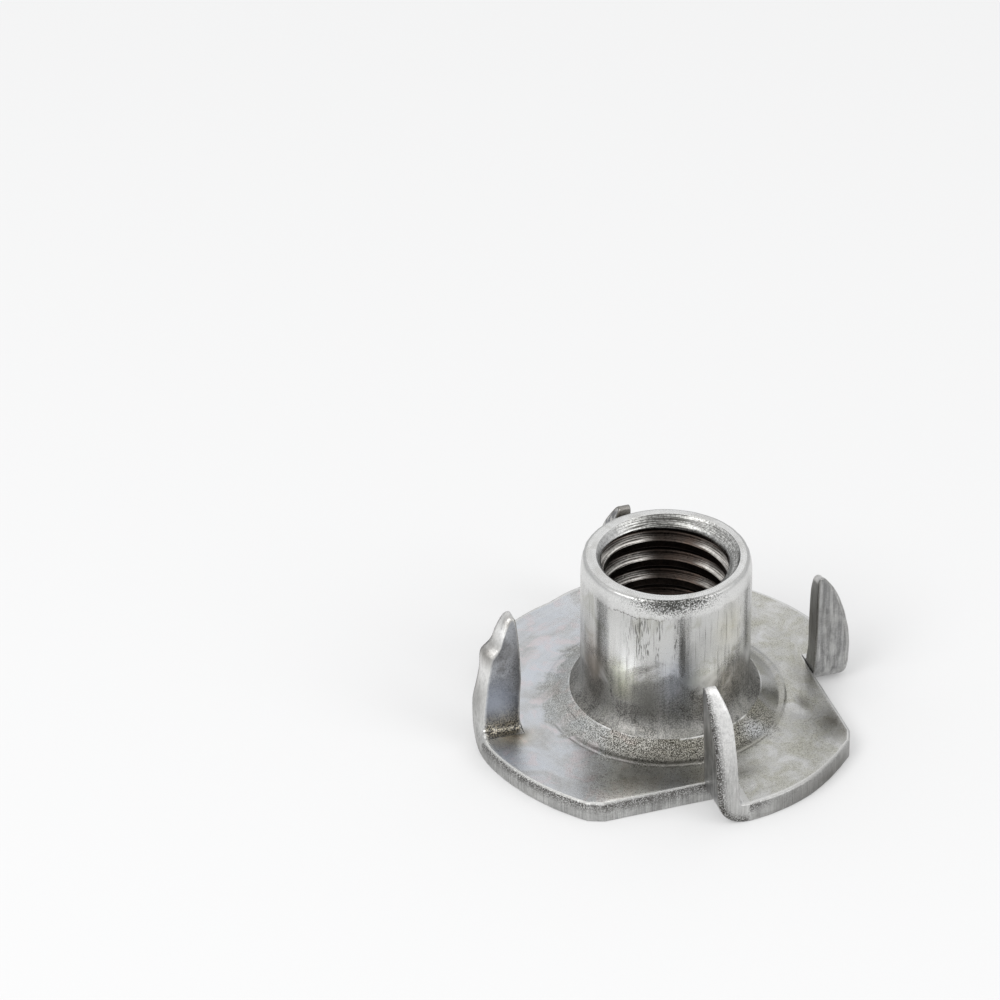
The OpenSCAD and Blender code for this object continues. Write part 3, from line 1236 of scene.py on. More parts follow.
class Effects:
    """The node groups that the finishes share, each made once."""

    def __init__(self) -> None:
        """Builds every group."""
        self.place = self.make_place()
        self.streaks = self.make_streaks()
        self.rings = self.make_rings()
        self.grain = self.make_grain()
        self.stain = self.make_stain()
        self.edge = self.make_edge()

    @staticmethod
    def make_place() -> bpy.types.NodeTree:
        """Place in millimetres, distance from the bore's axis, height, and unit direction.

        Returns:
            The group.
        """
        group = Group("place_on_nut")
        place = group.placed()
        flat = group.vector("MULTIPLY", place, (1.0, 1.0, 0.0))
        height = group.add("SeparateXYZ", {0: place}).outputs["Z"]
        radius, direction = group.vector("LENGTH", flat), group.vector("NORMALIZE", flat)
        return group.closed(Place=place, Radius=radius, Height=height, Direction=direction)

    @staticmethod
    def make_streaks() -> bpy.types.NodeTree:
        """Upright drawing streaks: noise drawn out along Z, broad ones and hair lines.

        Returns:
            The group.
        """
        group = Group("drawn_streaks", Width=0.2, Length=6.0)
        across, along = (group.math("DIVIDE", 1.0, size) for size in list(group.given)[:2])
        place = group.vector("MULTIPLY", group.placed(), group.combined(across, across, along))
        broad = group.mask(group.noise(place, 3.0, 0.55), 0.3, 0.7)
        fine = group.vector("MULTIPLY", place, (3.7, 3.7, 2.0))
        hair = group.mask(group.noise(fine, 1.0, 0.5), 0.6, 0.74)
        return group.closed(Streak=broad, Hairline=hair)

    def make_rings(self) -> bpy.types.NodeTree:
        """Turned marks: noise of the radius that changes only slowly round the axis.

        Returns:
            The group.
        """
        group = Group("turned_marks", Spacing=0.12)
        _, radius, _, direction = group.place(self.place)
        steps = group.math("DIVIDE", radius, group.given["Spacing"])
        place = group.vector("ADD", direction, group.combined(0.0, 0.0, steps))
        return group.closed(Ring=group.mask(group.noise(place, 3.0, 0.6), 0.3, 0.7))

    @staticmethod
    def make_grain() -> bpy.types.NodeTree:
        """Frosty grain: fine noise, and separate bright specks.

        Returns:
            The group.
        """
        group = Group("grain", Size=0.15)
        place = group.placed_by(group.given["Size"])
        moved = group.vector("ADD", place, (37.0, 11.0, 5.0))
        grain = group.mask(group.noise(place, 3.0, 0.65), 0.25, 0.75)
        glints = group.mask(group.noise(moved, 2.0, 0.6), 0.6, 0.7)
        return group.closed(Grain=grain, Glints=glints)

    @staticmethod
    def make_stain() -> bpy.types.NodeTree:
        """Cloudy stains with soft, warped borders.

        Returns:
            The group.
        """
        group = Group("stain", Size=3.0, Seed=0.0)
        shift = group.combined(*[group.given["Seed"]] * 3)
        place = group.vector("ADD", group.placed_by(group.given["Size"]), shift)
        noise = group.noise(place, 4.0, 0.6, 0.8)
        cloud, stain = group.mask(noise, 0.25, 0.75), group.mask(noise, 0.5, 0.64)
        return group.closed(Cloud=cloud, Stain=stain)

    @staticmethod
    def make_edge() -> bpy.types.NodeTree:
        """Reads the mesh's traits and breaks them up with fine noise.

        Returns:
            The group.
        """
        group = Group("edge_traits", Breakup=0.5)
        noise = group.mask(group.noise(group.placed_by(0.2), 2.0, 0.6), 0.35, 0.6)
        keep = group.between(group.given["Breakup"], 1.0, noise)
        traits = {}
        for trait in TRAITS:
            value = group.add("Attribute", {}, attribute_name=trait).outputs["Fac"]
            traits[trait.capitalize()] = group.product(value, keep)
        return group.closed(**traits)


class Surface(Wires):
    """The wiring of one finish: what the shared effects give it, and its look so far."""

    def __init__(self, tree: bpy.types.NodeTree, effects: Effects, finish: SteelFinish) -> None:
        """Places the shared effects with the finish's own sizes.

        Args:
            tree: The material's node tree.
            effects: The shared node groups.
            finish: The finish whose sizes they take.
        """
        super().__init__(tree)
        size = finish.cloud_size
        streaks = {"Width": finish.streak_width, "Length": finish.streak_length}
        self.point, self.radius, self.height, self.direction = self.place(effects.place)
        self.streak, self.hairline = self.place(effects.streaks, **streaks)
        self.ring = self.place(effects.rings, Spacing=finish.ring_spacing)["Ring"]
        self.grain, self.glints = self.place(effects.grain, Size=finish.grain_size)
        self.cloud = self.place(effects.stain, Size=size, Seed=3.0)["Cloud"]
        self.spots, self.stain = self.place(effects.stain, Size=0.6 * size, Seed=11.0)
        self.rubbed_and_lit, self.grime_and_shade, self.fresh = self.place(effects.edge, Breakup=finish.breakup)
        self.colour: Value = finish.dark
        self.rough: Value = finish.roughness
        self.relief: Value = 0.0

    def paint(self, colour: Value, *shares: Value) -> None:
        """Covers the surface with a colour, by the product of the shares."""
        self.colour = self.mix(self.product(*shares), self.colour, colour)

    def tint(self, tint: Colour, *shares: Value) -> None:
        """Multiplies the colour by a tint, by the product of the shares."""
        self.paint(self.vector("MULTIPLY", self.colour, tint), *shares)

    def roughen(self, *amounts: Value) -> None:
        """Adds the product of the amounts to the roughness."""
        self.rough = self.plus(self.rough, self.product(*amounts))

    def raise_by(self, *amounts: Value) -> None:
        """Adds the product of the amounts to the relief."""
        self.relief = self.plus(self.relief, self.product(*amounts))

    def side(self, degrees: float, low: float, high: float) -> Socket:
        """Picks one side of the nut by the cosine of the angle from it.

        Args:
            degrees: Direction of that side.
            low, high: Cosines that give 0 and 1.

        Returns:
            The share, between 0 and 1.
        """
        a = math.radians(degrees)
        facing = self.vector("DOT_PRODUCT", self.direction, (math.cos(a), math.sin(a), 0.0))
        return self.mask(facing, low, high)

    def spot(self, centre: Point, size: Point, share: float = 1.0) -> Socket:
        """Share at a centre in millimetres, easing to 0 at a size along each axis."""
        away = self.vector("DIVIDE", self.vector("SUBTRACT", self.point, centre), size)
        return self.product(self.mask(self.vector("LENGTH", away), 1.0, 0.0), share)

    def wall_spot(
        self, degrees: float, height: float, width: float, half: float, share: float = 1.0
    ) -> Socket:
        """A spot on the barrel's wall, with its half sizes across and up, and its share."""
        x, y = (WALL_R * turn(math.radians(degrees)) for turn in (math.cos, math.sin))
        return self.spot((x, y, height), (width, width, half), share)


# -- Finishes --


@dataclass(frozen=True)
class SteelFinish:
    """Bare pressed steel: a tone between dark and light, with cloudy stains.

    The tone adds up streaks, rings, grain and clouds, each with its own weight. Single
    finishes add their own marks to the surface in `mark`.
    """

    name: str
    dark: Colour
    light: Colour
    stain: Colour
    stain_share: float = 0.3
    streaks: float = 0.0
    streak_width: float = 0.2
    streak_length: float = 6.0
    hairlines: float = 0.0
    rings: float = 0.0
    ring_spacing: float = 0.12
    grain: float = 0.2
    grain_size: float = 0.12
    clouds: float = 0.3
    cloud_size: float = 2.5
    roughness: float = 0.34
    spread: float = 0.12
    relief: float = 0.004
    breakup: float = 0.5
    rub_colour: Colour = (0.78, 0.78, 0.77)
    rub_roughness: float = 0.28
    grime_and_shade_colour: Colour = (0.1, 0.095, 0.085)
    crumb_colour: Colour = (0.52, 0.47, 0.36)
    # Painted shade: darker patches where shade and dark reflections fall, each a Mark
    painted_shade: Colour = (0.17, 0.155, 0.135)
    painted_shades: tuple[Mark, ...] = ()

    def material(self, effects: Effects) -> bpy.types.Material:
        """Builds the material.

        Args:
            effects: The shared node groups.

        Returns:
            The material.
        """
        material = bpy.data.materials.new(self.name)
        material.use_nodes = True
        shader = material.node_tree.nodes["Principled BSDF"]
        steel = Surface(material.node_tree, effects, self)
        kinds = (steel.streak, steel.hairline, steel.ring, steel.grain, steel.cloud)
        weights = (self.streaks, self.hairlines, self.rings, self.grain, self.clouds)
        parts = [steel.swing(kind, weight) for kind, weight in zip(kinds, weights) if weight]
        steel.paint(self.light, steel.plus(0.5, *parts))
        steel.paint(self.stain, steel.stain, self.stain_share)
        steel.roughen(steel.swing(steel.grain, self.spread))
        steel.raise_by(steel.grain, 0.5)
        steel.raise_by(steel.streak, 2.0 * self.streaks)
        steel.raise_by(steel.ring, 1.5 * self.rings)
        self.mark(steel)
        # Painted shade patches, broken up by the clouds
        for painted_shade in self.painted_shades:
            steel.tint(self.painted_shade, steel.spot(*painted_shade), steel.between(steel.cloud, 0.5, 1.1))
        bump = {"Strength": 1.0, "Distance": self.relief * MM, "Height": steel.relief}
        steel.fill(shader.inputs["Normal"], steel.add("Bump", bump).outputs["Normal"])
        steel.fill(shader.inputs["Base Color"], steel.colour)
        steel.fill(shader.inputs["Roughness"], steel.rough)
        shader.inputs["Metallic"].default_value = 1.0
        return material

    def mark(self, steel: Surface) -> None:
        """Adds grime with painted shade, then rubbed edges: bright, smoother, where the mesh says
        so.

        Args:
            steel: The surface, with its tone and stains.
        """
        # Grime with painted shade, flecked with lighter crumbs
        crumbs = steel.mask(steel.grain, 0.44, 0.6)
        steel.paint(steel.mix(crumbs, self.grime_and_shade_colour, self.crumb_colour), steel.grime_and_shade)
        steel.paint(self.rub_colour, steel.rubbed_and_lit)
        steel.rough = steel.between(steel.rubbed_and_lit, steel.rough, self.rub_roughness)


@dataclass(frozen=True)
class FlangeFinish(SteelFinish):
    """The pressed top of the flange: satin, tinted, frosty round the collar, with painted shade,
    painted dark reflection and a painted highlight.
    """

    blue: Colour = (0.66, 0.7, 0.76)
    pink: Colour = (0.78, 0.7, 0.72)
    yellow: Colour = (0.55, 0.545, 0.48)
    speck: Colour = (0.12, 0.115, 0.105)
    grit: Colour = (0.3, 0.29, 0.26)
    slope: Colour = (0.35, 0.34, 0.32)
    glint: Colour = (0.72, 0.72, 0.71)
    frost: Colour = (0.98, 0.96, 0.89)
    skirt_highlight: Colour = (0.74, 0.76, 0.79)
    skirt_highlight_place: Mark = ((3.6, -5.1, 1.5), (1.5, 1.0, 1.2), 0.65)
    rust: Colour = (0.86, 0.76, 0.58)
    rust_place: Mark = ((-9.3, -1.2, 1.2), (2.0, 1.3, 2.0), 0.9)
    lines: Table = ((5.72, 0.05), (6.74, 0.09))
    crest: tuple[float, float] = (5.3, 0.09)
    ridge: Colour = (0.85, 0.85, 0.84)

    def mark(self, steel: Surface) -> None:
        """Adds tints by side, the frosty band with painted dark reflection on the skirt's near
        side, a painted highlight, a rust stain, the ridge and thin turned lines.

        Args:
            steel: The surface to mark.
        """
        radius, grain, cloud, spots = steel.radius, steel.grain, steel.cloud, steel.spots
        steel.paint(self.blue, steel.side(160.0, -0.2, 0.8), cloud, 0.9)
        steel.paint(self.pink, steel.side(160.0, -0.4, 0.6), steel.mask(spots, 0.5, 0.9), 0.6)
        steel.paint(self.yellow, steel.side(160.0, 0.6, -0.5), spots, 0.95)
        frayed = steel.plus(radius, steel.swing(spots, 1.4))
        frost = steel.product(steel.mask(frayed, 7.3, 6.0), steel.side(10.0, 0.88, 0.55))
        front, near = steel.side(160.0, 0.95, 0.35), steel.side(-115.0, 0.1, 0.7)
        seen = steel.product(front, steel.between(near, 0.55, 1.0))
        share = steel.between(seen, 0.6, 0.95)
        steel.tint(self.speck, frost, steel.mask(grain, 0.68, 0.36), share)
        steel.tint(self.grit, front, spots, steel.mask(grain, 0.6, 0.3), 0.45)
        # Painted dark reflection on the skirt's near side
        steel.tint(self.slope, seen, steel.mask(radius, 7.0, 6.3), 0.7)
        steel.paint(self.glint, frost, steel.glints, 0.5)
        steel.tint(self.frost, frost, 0.8)
        # Painted highlight on the skirt right of the south prong
        steel.paint(self.skirt_highlight, steel.spot(*self.skirt_highlight_place), steel.mask(grain, 0.3, 0.5))
        steel.tint(self.rust, steel.spot(*self.rust_place))
        lines = steel.plus(*(steel.band(radius, *line) for line in self.lines))
        steel.paint(self.grime_and_shade_colour, lines, steel.mask(spots, 0.25, 0.7), near, 0.7)
        crest = steel.product(steel.band(radius, *self.crest), steel.mask(steel.height, 1.7, 1.9))
        steel.paint(self.ridge, crest, steel.mask(cloud, 0.3, 0.8), 0.7)
        steel.roughen(frost, 0.12)
        steel.raise_by(frost, grain, 1.5)
        super().mark(steel)


@dataclass(frozen=True)
class BarrelFinish(SteelFinish):
    """The drawn barrel: lightly streaked, ragged at its lip, mottled at its foot and darkened
    there by painted dark reflection.

    Dark scores, painted highlights and tints lie on its wall, each at an angle in degrees and a
    height, with its half sizes across and up; scores and painted highlights also have a share.
    """

    foot_reflection: Colour = (0.06, 0.06, 0.054)
    foot_worn: Colour = (0.27, 0.26, 0.24)
    line: Colour = (0.04, 0.035, 0.03)
    line_place: tuple[Point, Point] = ((-3.4, -3.6, 9.4), (3.2, 3.2, 1.5))
    score: Colour = (0.12, 0.12, 0.11)
    scores: Table = (
        (-161.0, 6.8, 0.44, 3.2, 0.8),
        (-172.0, 5.0, 1.4, 4.0, 0.55),
        (-160.0, 4.0, 1.6, 2.6, 0.5),
        (-98.6, 7.2, 0.26, 2.2, 0.8),
        (-95.0, 6.2, 0.8, 2.0, 0.55),
        (-84.0, 6.6, 1.6, 3.4, 0.33),
        (-124.0, 4.0, 1.2, 2.3, 0.9),
        (-43.0, 6.5, 0.32, 3.6, 0.5),
        (-52.0, 5.4, 1.0, 2.2, 0.25),
        (30.0, 6.6, 0.4, 2.8, 0.6),
        (75.0, 7.0, 0.7, 3.0, 0.5),
        (140.0, 6.2, 0.5, 2.6, 0.6),
    )
    # Painted highlights on the wall: angle, height, half sizes and share of each
    painted_highlight: Colour = (0.82, 0.82, 0.81)
    painted_highlights: Table = (
        (-143.0, 7.0, 1.6, 2.6, 0.8),
        (-141.0, 5.2, 1.0, 1.4, 0.4),
        (-105.0, 4.8, 0.8, 1.8, 0.3),
        (-38.5, 8.6, 0.28, 1.6, 0.9),
    )
    tints: tuple[tuple[float, float, float, float, Colour], ...] = (
        (-103.0, 5.2, 1.8, 3.4, (0.82, 0.86, 0.97)),
        (-62.0, 7.8, 1.8, 2.4, (1.0, 0.97, 0.85)),
        (-168.0, 5.0, 1.6, 3.4, (1.0, 0.9, 0.84)),
        (-141.0, 5.0, 1.4, 1.9, (0.95, 0.96, 0.8)),
        (-62.0, 4.4, 2.6, 2.0, (0.93, 0.89, 0.83)),
        (40.0, 6.0, 2.0, 3.0, (0.92, 0.96, 1.0)),
        (120.0, 6.0, 2.0, 3.0, (1.0, 0.96, 0.88)),
    )
    etched: Colour = (0.14, 0.14, 0.13)
    etched_place: tuple[float, float, float, float] = (-118.0, 8.1, 2.5, 2.6)
    etched_scale: Point = (15.0, 15.0, 1.5)
    lip_dull: Colour = (0.62, 0.62, 0.61)
    lip_pale: Colour = (0.84, 0.84, 0.83)
    lip_tint: Colour = (0.45, 0.45, 0.44)
    dot: Colour = (0.05, 0.05, 0.045)
    stippled: tuple[Point, Point] = ((-1.2, -4.3, 10.35), (4.6, 3.3, 1.25))

    def mark(self, steel: Surface) -> None:
        """Adds the mottled foot in painted dark reflection, scores and painted highlights, and the
        ragged line under the light lip.

        Args:
            steel: The surface to mark.
        """
        z, grain, spots, streak = steel.height, steel.grain, steel.spots, steel.streak
        # Painted dark reflection on the lower wall and fillet, mottled with lighter flecks
        foot_reflection = steel.mask(steel.plus(z, steel.swing(steel.cloud, 2.6)), 6.1, 4.3)
        fleck = steel.plus(steel.product(grain, 0.8), steel.product(streak, 0.2))
        mottle = steel.mix(steel.mask(fleck, 0.25, 0.75), self.foot_reflection, self.foot_worn)
        steel.paint(mottle, foot_reflection, steel.between(steel.mask(spots, 0.35, 0.75), 0.92, 0.7))
        worn = steel.between(streak, 0.5, 1.0)
        # Dark scores, then painted highlights, broken up by the streaks
        for tone, table in ((self.score, self.scores), (self.painted_highlight, self.painted_highlights)):
            for score in table:
                steel.paint(tone, steel.wall_spot(*score), worn)
        hatched = steel.vector("MULTIPLY", steel.point, self.etched_scale)
        hatched = steel.mask(steel.noise(hatched, 1.0, 0.6), 0.48, 0.4)
        area = steel.mask(steel.wall_spot(*self.etched_place), 0.0, 0.6)
        area = steel.product(area, steel.mask(z, 9.5, 9.2))
        steel.paint(self.etched, hatched, steel.mask(streak, 0.65, 0.4), area, 0.8)
        around = steel.vector("MULTIPLY", steel.direction, (7.0, 7.0, 0.0))
        level = steel.plus(z, steel.swing(steel.noise(around, 5.0, 0.7), -0.8))
        lip = steel.mask(level, 9.36, 9.66)
        steel.paint(steel.mix(grain, self.lip_dull, self.lip_pale), lip, 0.85)
        sparse = steel.math("SUBTRACT", 1.0, steel.spot(*self.stippled))
        dots = steel.mask(steel.plus(grain, sparse), 1.05, 0.52)
        steel.paint(self.dot, dots, 0.95)
        steel.tint(self.lip_tint, steel.mask(z, 10.2, 10.4), 0.35)
        line = steel.product(steel.band(level, 9.42, 0.05), steel.mask(grain, 0.75, 0.35))
        steel.paint(self.line, line, steel.spot(*self.line_place))
        worn = steel.between(spots, 0.5, 1.2)
        for *place, tint in self.tints:
            steel.tint(tint, steel.wall_spot(*place), worn)
        steel.roughen(steel.mask(z, 6.0, 4.6), 0.24)
        steel.roughen(lip, 0.14)
        steel.raise_by(dots, -1.0)
        steel.raise_by(foot_reflection, grain, 1.2)
        super().mark(steel)


@dataclass(frozen=True)
class ThreadFinish(SteelFinish):
    """The cut thread: dark steel, near black with painted shade of the deep bore, with painted
    highlights along its upper flanks and light turned lines on its mouth.
    """

    lit_flank: Colour = (0.95, 0.92, 0.87)
    shadow: Colour = (0.35, 0.31, 0.29)
    mouth_dark: Colour = (0.07, 0.07, 0.065)
    mouth_light: Colour = (0.66, 0.66, 0.64)
    mouth_smooth: Colour = (0.72, 0.72, 0.71)
    mouth_highlight: Colour = (0.9, 0.9, 0.88)
    shaded_side: float = 62.0

    def mark(self, steel: Surface) -> None:
        """Adds painted highlights on the lit upper flanks, which painted shade on the shaded side
        and in the depth swallows, and a painted highlight on the mouth's right side.

        Args:
            steel: The surface to mark.
        """
        ring = steel.ring
        shade = steel.side(self.shaded_side, 0.84, 0.975)
        lit = steel.product(steel.between(shade, 1.0, 0.04), steel.mask(steel.height, 6.2, 6.9))
        # Painted highlight on the lit upper flanks
        steel.paint(self.lit_flank, steel.rubbed_and_lit, lit, steel.mask(ring, 0.1, 0.7))
        steel.tint(self.shadow, shade, 0.45)
        marks = steel.mask(ring, 0.25, 0.7)
        marks = steel.between(shade, marks, steel.product(marks, 0.5))
        mouth = steel.mix(marks, self.mouth_dark, self.mouth_light)
        left, right = steel.side(160.0, 0.4, 0.85), steel.side(8.0, 0.6, 0.97)
        mouth = steel.mix(steel.product(left, 0.8), mouth, self.mouth_smooth)
        # Painted highlight on the right side of the mouth
        mouth = steel.mix(steel.product(right, 0.35), mouth, self.mouth_highlight)
        pits = steel.product(steel.mask(steel.grain, 0.6, 0.36), steel.between(left, 0.5, 0.15))
        steel.paint(steel.mix(pits, mouth, self.mouth_dark), steel.fresh)
        steel.raise_by(ring)


@dataclass(frozen=True)
class HollowFinish(SteelFinish):
    """The inside of a prong: bluish and cloudy, with painted light at its foot that matches the
    flange, a painted sheen and painted highlight streaks.
    """

    # Painted light on the foot of the hollow, matching the flange's tone
    low: Colour = (0.8, 0.8, 0.79)
    sheen: Colour = (0.42, 0.45, 0.51)
    sheen_place: Mark = ((-10.0, -0.4, 3.0), (1.7, 1.4, 2.2), 0.8)

    def mark(self, steel: Surface) -> None:
        """Paints light on the foot, a bluish painted sheen on the west prong and painted highlight
        streaks on the north prong, then adds the usual marks.

        Args:
            steel: The surface to mark.
        """
        # Painted light at the foot away from the west prong, a painted bluish sheen on the west
        # prong, painted highlight streaks on the north prong
        lit_foot_sides = steel.side(180.0, 0.95, 0.8)
        steel.paint(self.low, steel.mask(steel.height, 2.6, 1.3), lit_foot_sides, 0.85)
        steel.paint(self.sheen, steel.spot(*self.sheen_place))
        steel.paint(self.low, steel.side(90.0, 0.8, 0.95), steel.mask(steel.streak, 0.52, 0.66))
        super().mark(steel)


@dataclass(frozen=True)
class ShearedFinish(SteelFinish):
    """The sheared edge: fine upright lines, bright where fresh, stippled with grime and painted
    shade where rolled.
    """

    fresh: Colour = (0.95, 0.945, 0.93)

    def mark(self, steel: Surface) -> None:
        """Brightens the fresh walls and stipples the rolled edges with grime and painted shade.

        Args:
            steel: The surface to mark.
        """
        shade = steel.plus(0.68, steel.product(steel.plus(steel.streak, steel.grain), 0.22))
        steel.paint(self.fresh, steel.fresh, shade)
        # Dark stipple of grime and painted shade on the rolled edges
        speck = steel.product(steel.grime_and_shade, steel.mask(steel.grain, 0.74, 0.5))
        steel.paint(self.grime_and_shade_colour, speck)
        steel.paint(self.rub_colour, steel.grime_and_shade, steel.glints, 0.9)
        steel.paint(self.rub_colour, steel.rubbed_and_lit)
        steel.raise_by(speck, -1.5)


# The finish of each skin
FINISHES = {
    Skin.FLANGE: FlangeFinish(
        "flange_satin", dark=(0.5, 0.5, 0.495), light=(0.8, 0.8, 0.8),
        stain=(0.57, 0.56, 0.52), rings=0.3, ring_spacing=0.35, grain=0.25, grain_size=0.064,
        clouds=0.8, cloud_size=2.4, roughness=0.3, breakup=0.4,
        painted_shades=(
            ((-4.0, -6.8, 1.2), (4.6, 2.6, 3.0), 0.95),
            ((-1.4, -8.0, 1.2), (2.8, 1.6, 3.0), 0.6),
            ((7.8, -5.6, 1.2), (1.6, 2.4, 3.0), 1.0),
            ((6.9, -3.2, 1.2), (0.6, 1.2, 3.0), 0.6),
            ((-10.0, -1.9, 1.2), (1.4, 1.2, 3.0), 0.6),
            ((-8.8, -0.9, 1.2), (0.9, 0.8, 2.0), 0.9),
            ((8.1, -1.0, 1.2), (1.4, 2.4, 3.0), 0.45),
            ((1.5, -8.2, 1.2), (2.0, 0.8, 3.0), 0.4),
        ),
    ),
    Skin.BARREL: BarrelFinish(
        "barrel_drawn", dark=(0.3, 0.3, 0.29), light=(0.59, 0.59, 0.58),
        stain=(0.38, 0.38, 0.33), stain_share=0.5, streaks=0.5, streak_width=0.4,
        streak_length=5.0, hairlines=-0.9, grain=0.3, grain_size=0.075, clouds=0.8,
        cloud_size=2.6, roughness=0.24,
    ),
    Skin.FACED: SteelFinish(
        "barrel_top_faced", dark=(0.66, 0.66, 0.65), light=(0.96, 0.96, 0.95),
        stain=(0.55, 0.54, 0.51), stain_share=0.4, rings=0.35, ring_spacing=0.05, grain=0.3,
        grain_size=0.08, clouds=0.4, roughness=0.28,
    ),
    # Near black: dark steel deepened by painted shade of the bore
    Skin.THREAD: ThreadFinish(
        "thread_cut", dark=(0.022, 0.017, 0.014), light=(0.075, 0.06, 0.052),
        stain=(0.07, 0.05, 0.04), stain_share=0.6, grain=0.6, clouds=0.6, cloud_size=1.5,
        ring_spacing=0.05, roughness=0.32, breakup=0.25,
    ),
    Skin.SHEARED: ShearedFinish(
        "edge_sheared", dark=(0.2, 0.2, 0.195), light=(0.58, 0.58, 0.57),
        stain=(0.25, 0.245, 0.23), streaks=0.5, streak_width=0.07, streak_length=2.5,
        hairlines=-0.3, grain=0.35, grain_size=0.07, clouds=0.6, roughness=0.42,
        rub_colour=(0.92, 0.92, 0.9), grime_and_shade_colour=(0.05, 0.045, 0.04), breakup=0.2,
        painted_shades=(
            ((8.6, 0.0, 4.5), (1.0, 2.4, 5.5), 0.95),
            ((0.0, 9.2, 7.4), (3.4, 2.6, 3.2), 1.1),
            ((-10.2, 0.4, 6.1), (1.4, 1.7, 1.5), 0.75),
            ((-10.9, 0.4, 3.4), (1.0, 1.7, 2.0), 0.4),
            ((-8.9, 0.3, 7.7), (1.0, 1.2, 0.7), 0.7),
            ((0.0, -9.6, 4.5), (2.6, 2.8, 6.0), 0.25),
            ((7.0, -9.5, 0.2), (8.0, 4.5, 1.8), 0.85),
        ),
    ),
    Skin.PRONG: SteelFinish(
        "prong_brushed", dark=(0.22, 0.22, 0.22), light=(0.62, 0.62, 0.61),
        stain=(0.2, 0.2, 0.19), streaks=0.7, streak_width=0.3, streak_length=3.0,
        hairlines=0.4, grain=0.3, grain_size=0.09, clouds=0.5, cloud_size=1.6, roughness=0.36,
        painted_shades=(((9.7, -0.6, 4.5), (2.6, 2.0, 6.0), 0.22),),
    ),
    Skin.HOLLOW: HollowFinish(
        "prong_inside", dark=(0.13, 0.135, 0.145), light=(0.42, 0.43, 0.45),
        stain=(0.12, 0.115, 0.11), stain_share=0.5, streaks=0.12, grain=0.75, grain_size=0.08,
        clouds=1.1, cloud_size=2.4, roughness=0.32, grime_and_shade_colour=(0.035, 0.03, 0.022),
        breakup=0.3,
        painted_shades=(
            ((0.0, 9.2, 7.4), (3.4, 2.6, 3.2), 0.6),
            ((-8.3, -0.4, 2.2), (1.2, 1.2, 1.4), 1.0),
            ((-8.4, -0.4, 5.2), (0.95, 1.2, 4.2), 0.9),
        ),
    ),
    Skin.UNDERSIDE: SteelFinish(
        "underside_plain", dark=(0.28, 0.28, 0.27), light=(0.55, 0.55, 0.54),
        stain=(0.3, 0.3, 0.27), rings=0.2, grain=0.7, grain_size=0.1, clouds=0.4,
        roughness=0.38,
    ),
}


# -- The scene --


@dataclass
class TeeNut:
    """The whole nut: its drawn body and its punched sheet in one closed surface."""

    body: DrawnBody = field(default_factory=DrawnBody)
    sheet: PunchedSheet = field(default_factory=PunchedSheet)

    def build(self) -> bpy.types.Object:
        """Makes the nut's mesh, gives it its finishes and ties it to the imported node.

        Returns:
            The nut.
        """
        mesh = SheetMetalMesh()
        self.body.build_into(mesh)
        self.sheet.build_into(mesh)
        piece = mesh.build("stamped_nut")
        effects = Effects()
        for skin in Skin:
            piece.data.materials.append(FINISHES[skin].material(effects))
        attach(piece, "root")
        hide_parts("tee_nut")
        return piece


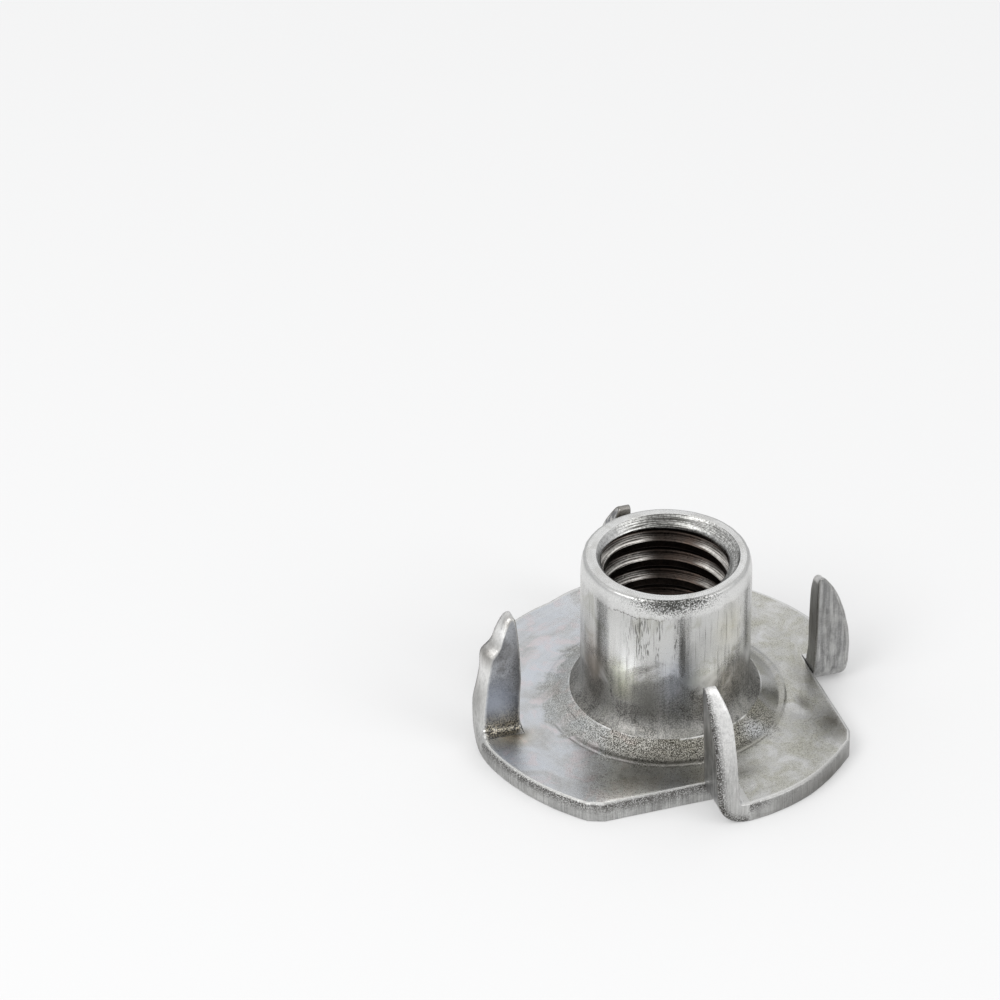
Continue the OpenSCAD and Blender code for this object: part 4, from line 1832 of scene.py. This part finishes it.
@dataclass
class Studio:
    """The camera, the pale floor and the soft lamps round the nut.

    The camera's angles are in degrees, its distance in millimetres. A lamp is a name, a
    place and a width in metres, and a power.
    """

    elevation: float = 36.3
    distance: float = 254.37
    lens_px: float = 4575.9
    frame_px: float = 1000.0
    sensor: float = 36.0
    origin_px: tuple[float, float] = (664.47, 710.58)
    roll: float = 0.75
    turn: float = -20.146
    floor_half: float = 2.0
    floor_colour: Colour = (0.775, 0.775, 0.775)
    backdrop: Colour = (0.915, 0.915, 0.915)
    self_lit: float = 0.25
    low_sky: Colour = (0.62, 0.63, 0.65)
    high_sky: Colour = (0.9, 0.9, 0.9)
    lamps: tuple[tuple[str, Point, float, float], ...] = (
        ("key_lamp", (-0.3, -0.16, 0.36), 0.3, 1.1),
        ("fill_lamp", (0.3, -0.3, 0.3), 0.3, 0.5),
    )

    @staticmethod
    def link(name: str, data: bpy.types.ID) -> bpy.types.Object:
        """Makes an object of some data and puts it into the scene.

        Args:
            name: The object's name.
            data: What it shows: a mesh, a lamp or a camera.

        Returns:
            The object.
        """
        thing = bpy.data.objects.new(name, data)
        bpy.context.scene.collection.objects.link(thing)
        return thing

    def add_camera(self) -> None:
        """Places the camera from the elevation, distance and pixel of the origin."""
        e, a = math.radians(self.elevation), math.radians(self.turn)
        forward, right = np.array([0.0, math.cos(e), -math.sin(e)]), np.array([1.0, 0.0, 0.0])
        up = np.cross(right, forward)
        across, down = ((p - 0.5 * self.frame_px) / self.lens_px for p in self.origin_px)
        ray = np.array([across, -down, 1.0])
        ray /= np.linalg.norm(ray)
        x = np.cross([0.0, 1.0, 0.0], ray)
        x /= np.linalg.norm(x)
        c, s = math.cos(math.radians(self.roll)), math.sin(math.radians(self.roll))
        aimed = np.column_stack([c * right + s * up, -s * right + c * up, forward])
        view = aimed @ np.column_stack([x, np.cross(ray, x), ray]).T
        spin = np.array(Matrix.Rotation(a, 3, "Z"))
        matrix = np.eye(4)
        matrix[:3, :3] = spin @ view * [1.0, 1.0, -1.0]
        matrix[:3, 3] = spin @ (-self.distance * MM * forward)
        data = bpy.data.cameras.new("camera")
        data.sensor_width = self.sensor
        data.lens = self.sensor * self.lens_px / self.frame_px
        data.clip_start, data.clip_end = 0.01, 10.0
        camera = self.link("camera", data)
        camera.matrix_world = Matrix(matrix.tolist())
        bpy.context.scene.camera = camera

    def add_floor(self) -> None:
        """Adds the pale floor: lit where rays bounce, partly self-lit where it is seen."""
        half = self.floor_half
        corners = [(-half, -half, 0), (half, -half, 0), (half, half, 0), (-half, half, 0)]
        mesh = bpy.data.meshes.new("floor")
        mesh.from_pydata(corners, [], [(0, 1, 2, 3)])
        material = bpy.data.materials.new("floor")
        material.use_nodes = True
        wires, nodes = Wires(material.node_tree), material.node_tree.nodes
        nodes.remove(nodes["Principled BSDF"])
        lit = wires.add("BsdfDiffuse", {"Color": self.floor_colour}).outputs[0]
        own = wires.add("Emission", {"Color": self.backdrop, "Strength": 1.0}).outputs[0]
        share = wires.product(self.seen(wires), self.self_lit)
        mixed = wires.add("MixShader", {0: share, 1: lit, 2: own}).outputs[0]
        wires.fill(nodes["Material Output"].inputs["Surface"], mixed)
        mesh.materials.append(material)
        floor = self.link("floor", mesh)

    @staticmethod
    def seen(wires: Wires) -> Socket:
        """Tells which rays see the floor as it is shown.

        Args:
            wires: The floor's wiring.

        Returns:
            1 for rays from the camera and for mirrored and refracted ones, otherwise 0.
        """
        path = wires.add("LightPath", {}).outputs
        rays = wires.math("MAXIMUM", path["Is Camera Ray"], path["Is Glossy Ray"])
        return wires.math("MAXIMUM", rays, path["Is Transmission Ray"])

    def add_lamp(self, name: str, place: Point, size: float, power: float) -> None:
        """Adds a round soft lamp, aimed at the nut.

        Args:
            name: The lamp's name.
            place, size: Where it hangs and how wide it is, in metres.
            power: Its power in watts.
        """
        lamp = bpy.data.lights.new(name, "AREA")
        lamp.shape, lamp.size, lamp.energy = "DISK", size, power
        holder = self.link(name, lamp)
        holder.location = place
        holder.rotation_euler = (-holder.location).to_track_quat("-Z", "Y").to_euler()

    def add_surroundings(self) -> None:
        """Adds pale surroundings that are a little darker low down."""
        world = bpy.data.worlds.new("surroundings")
        world.use_nodes = True
        wires = Wires(world.node_tree)
        direction = wires.add("TexCoord", {}).outputs["Generated"]
        up = wires.add("SeparateXYZ", {0: direction}).outputs["Z"]
        glow = wires.mix(wires.mask(up, -0.1, 0.9), self.low_sky, self.high_sky)
        camera_ray = wires.add("LightPath", {}).outputs["Is Camera Ray"]
        colour = wires.mix(camera_ray, glow, self.backdrop)
        wires.fill(world.node_tree.nodes["Background"].inputs["Color"], colour)
        bpy.context.scene.world = world

    def build(self) -> None:
        """Sets up everything that isn't the nut."""
        self.add_camera()
        self.add_floor()
        self.add_surroundings()
        for lamp in self.lamps:
            self.add_lamp(*lamp)
        bpy.context.scene.view_settings.view_transform = "Standard"


def main() -> None:
    """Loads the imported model, builds the nut on it and the studio round it."""
    logging.basicConfig(level=logging.INFO, format="%(name)s: %(message)s")
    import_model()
    Studio().build()
    nut = TeeNut().build()
    LOG.info("built %s", nut.name)


if __name__ == "__main__":
    main()
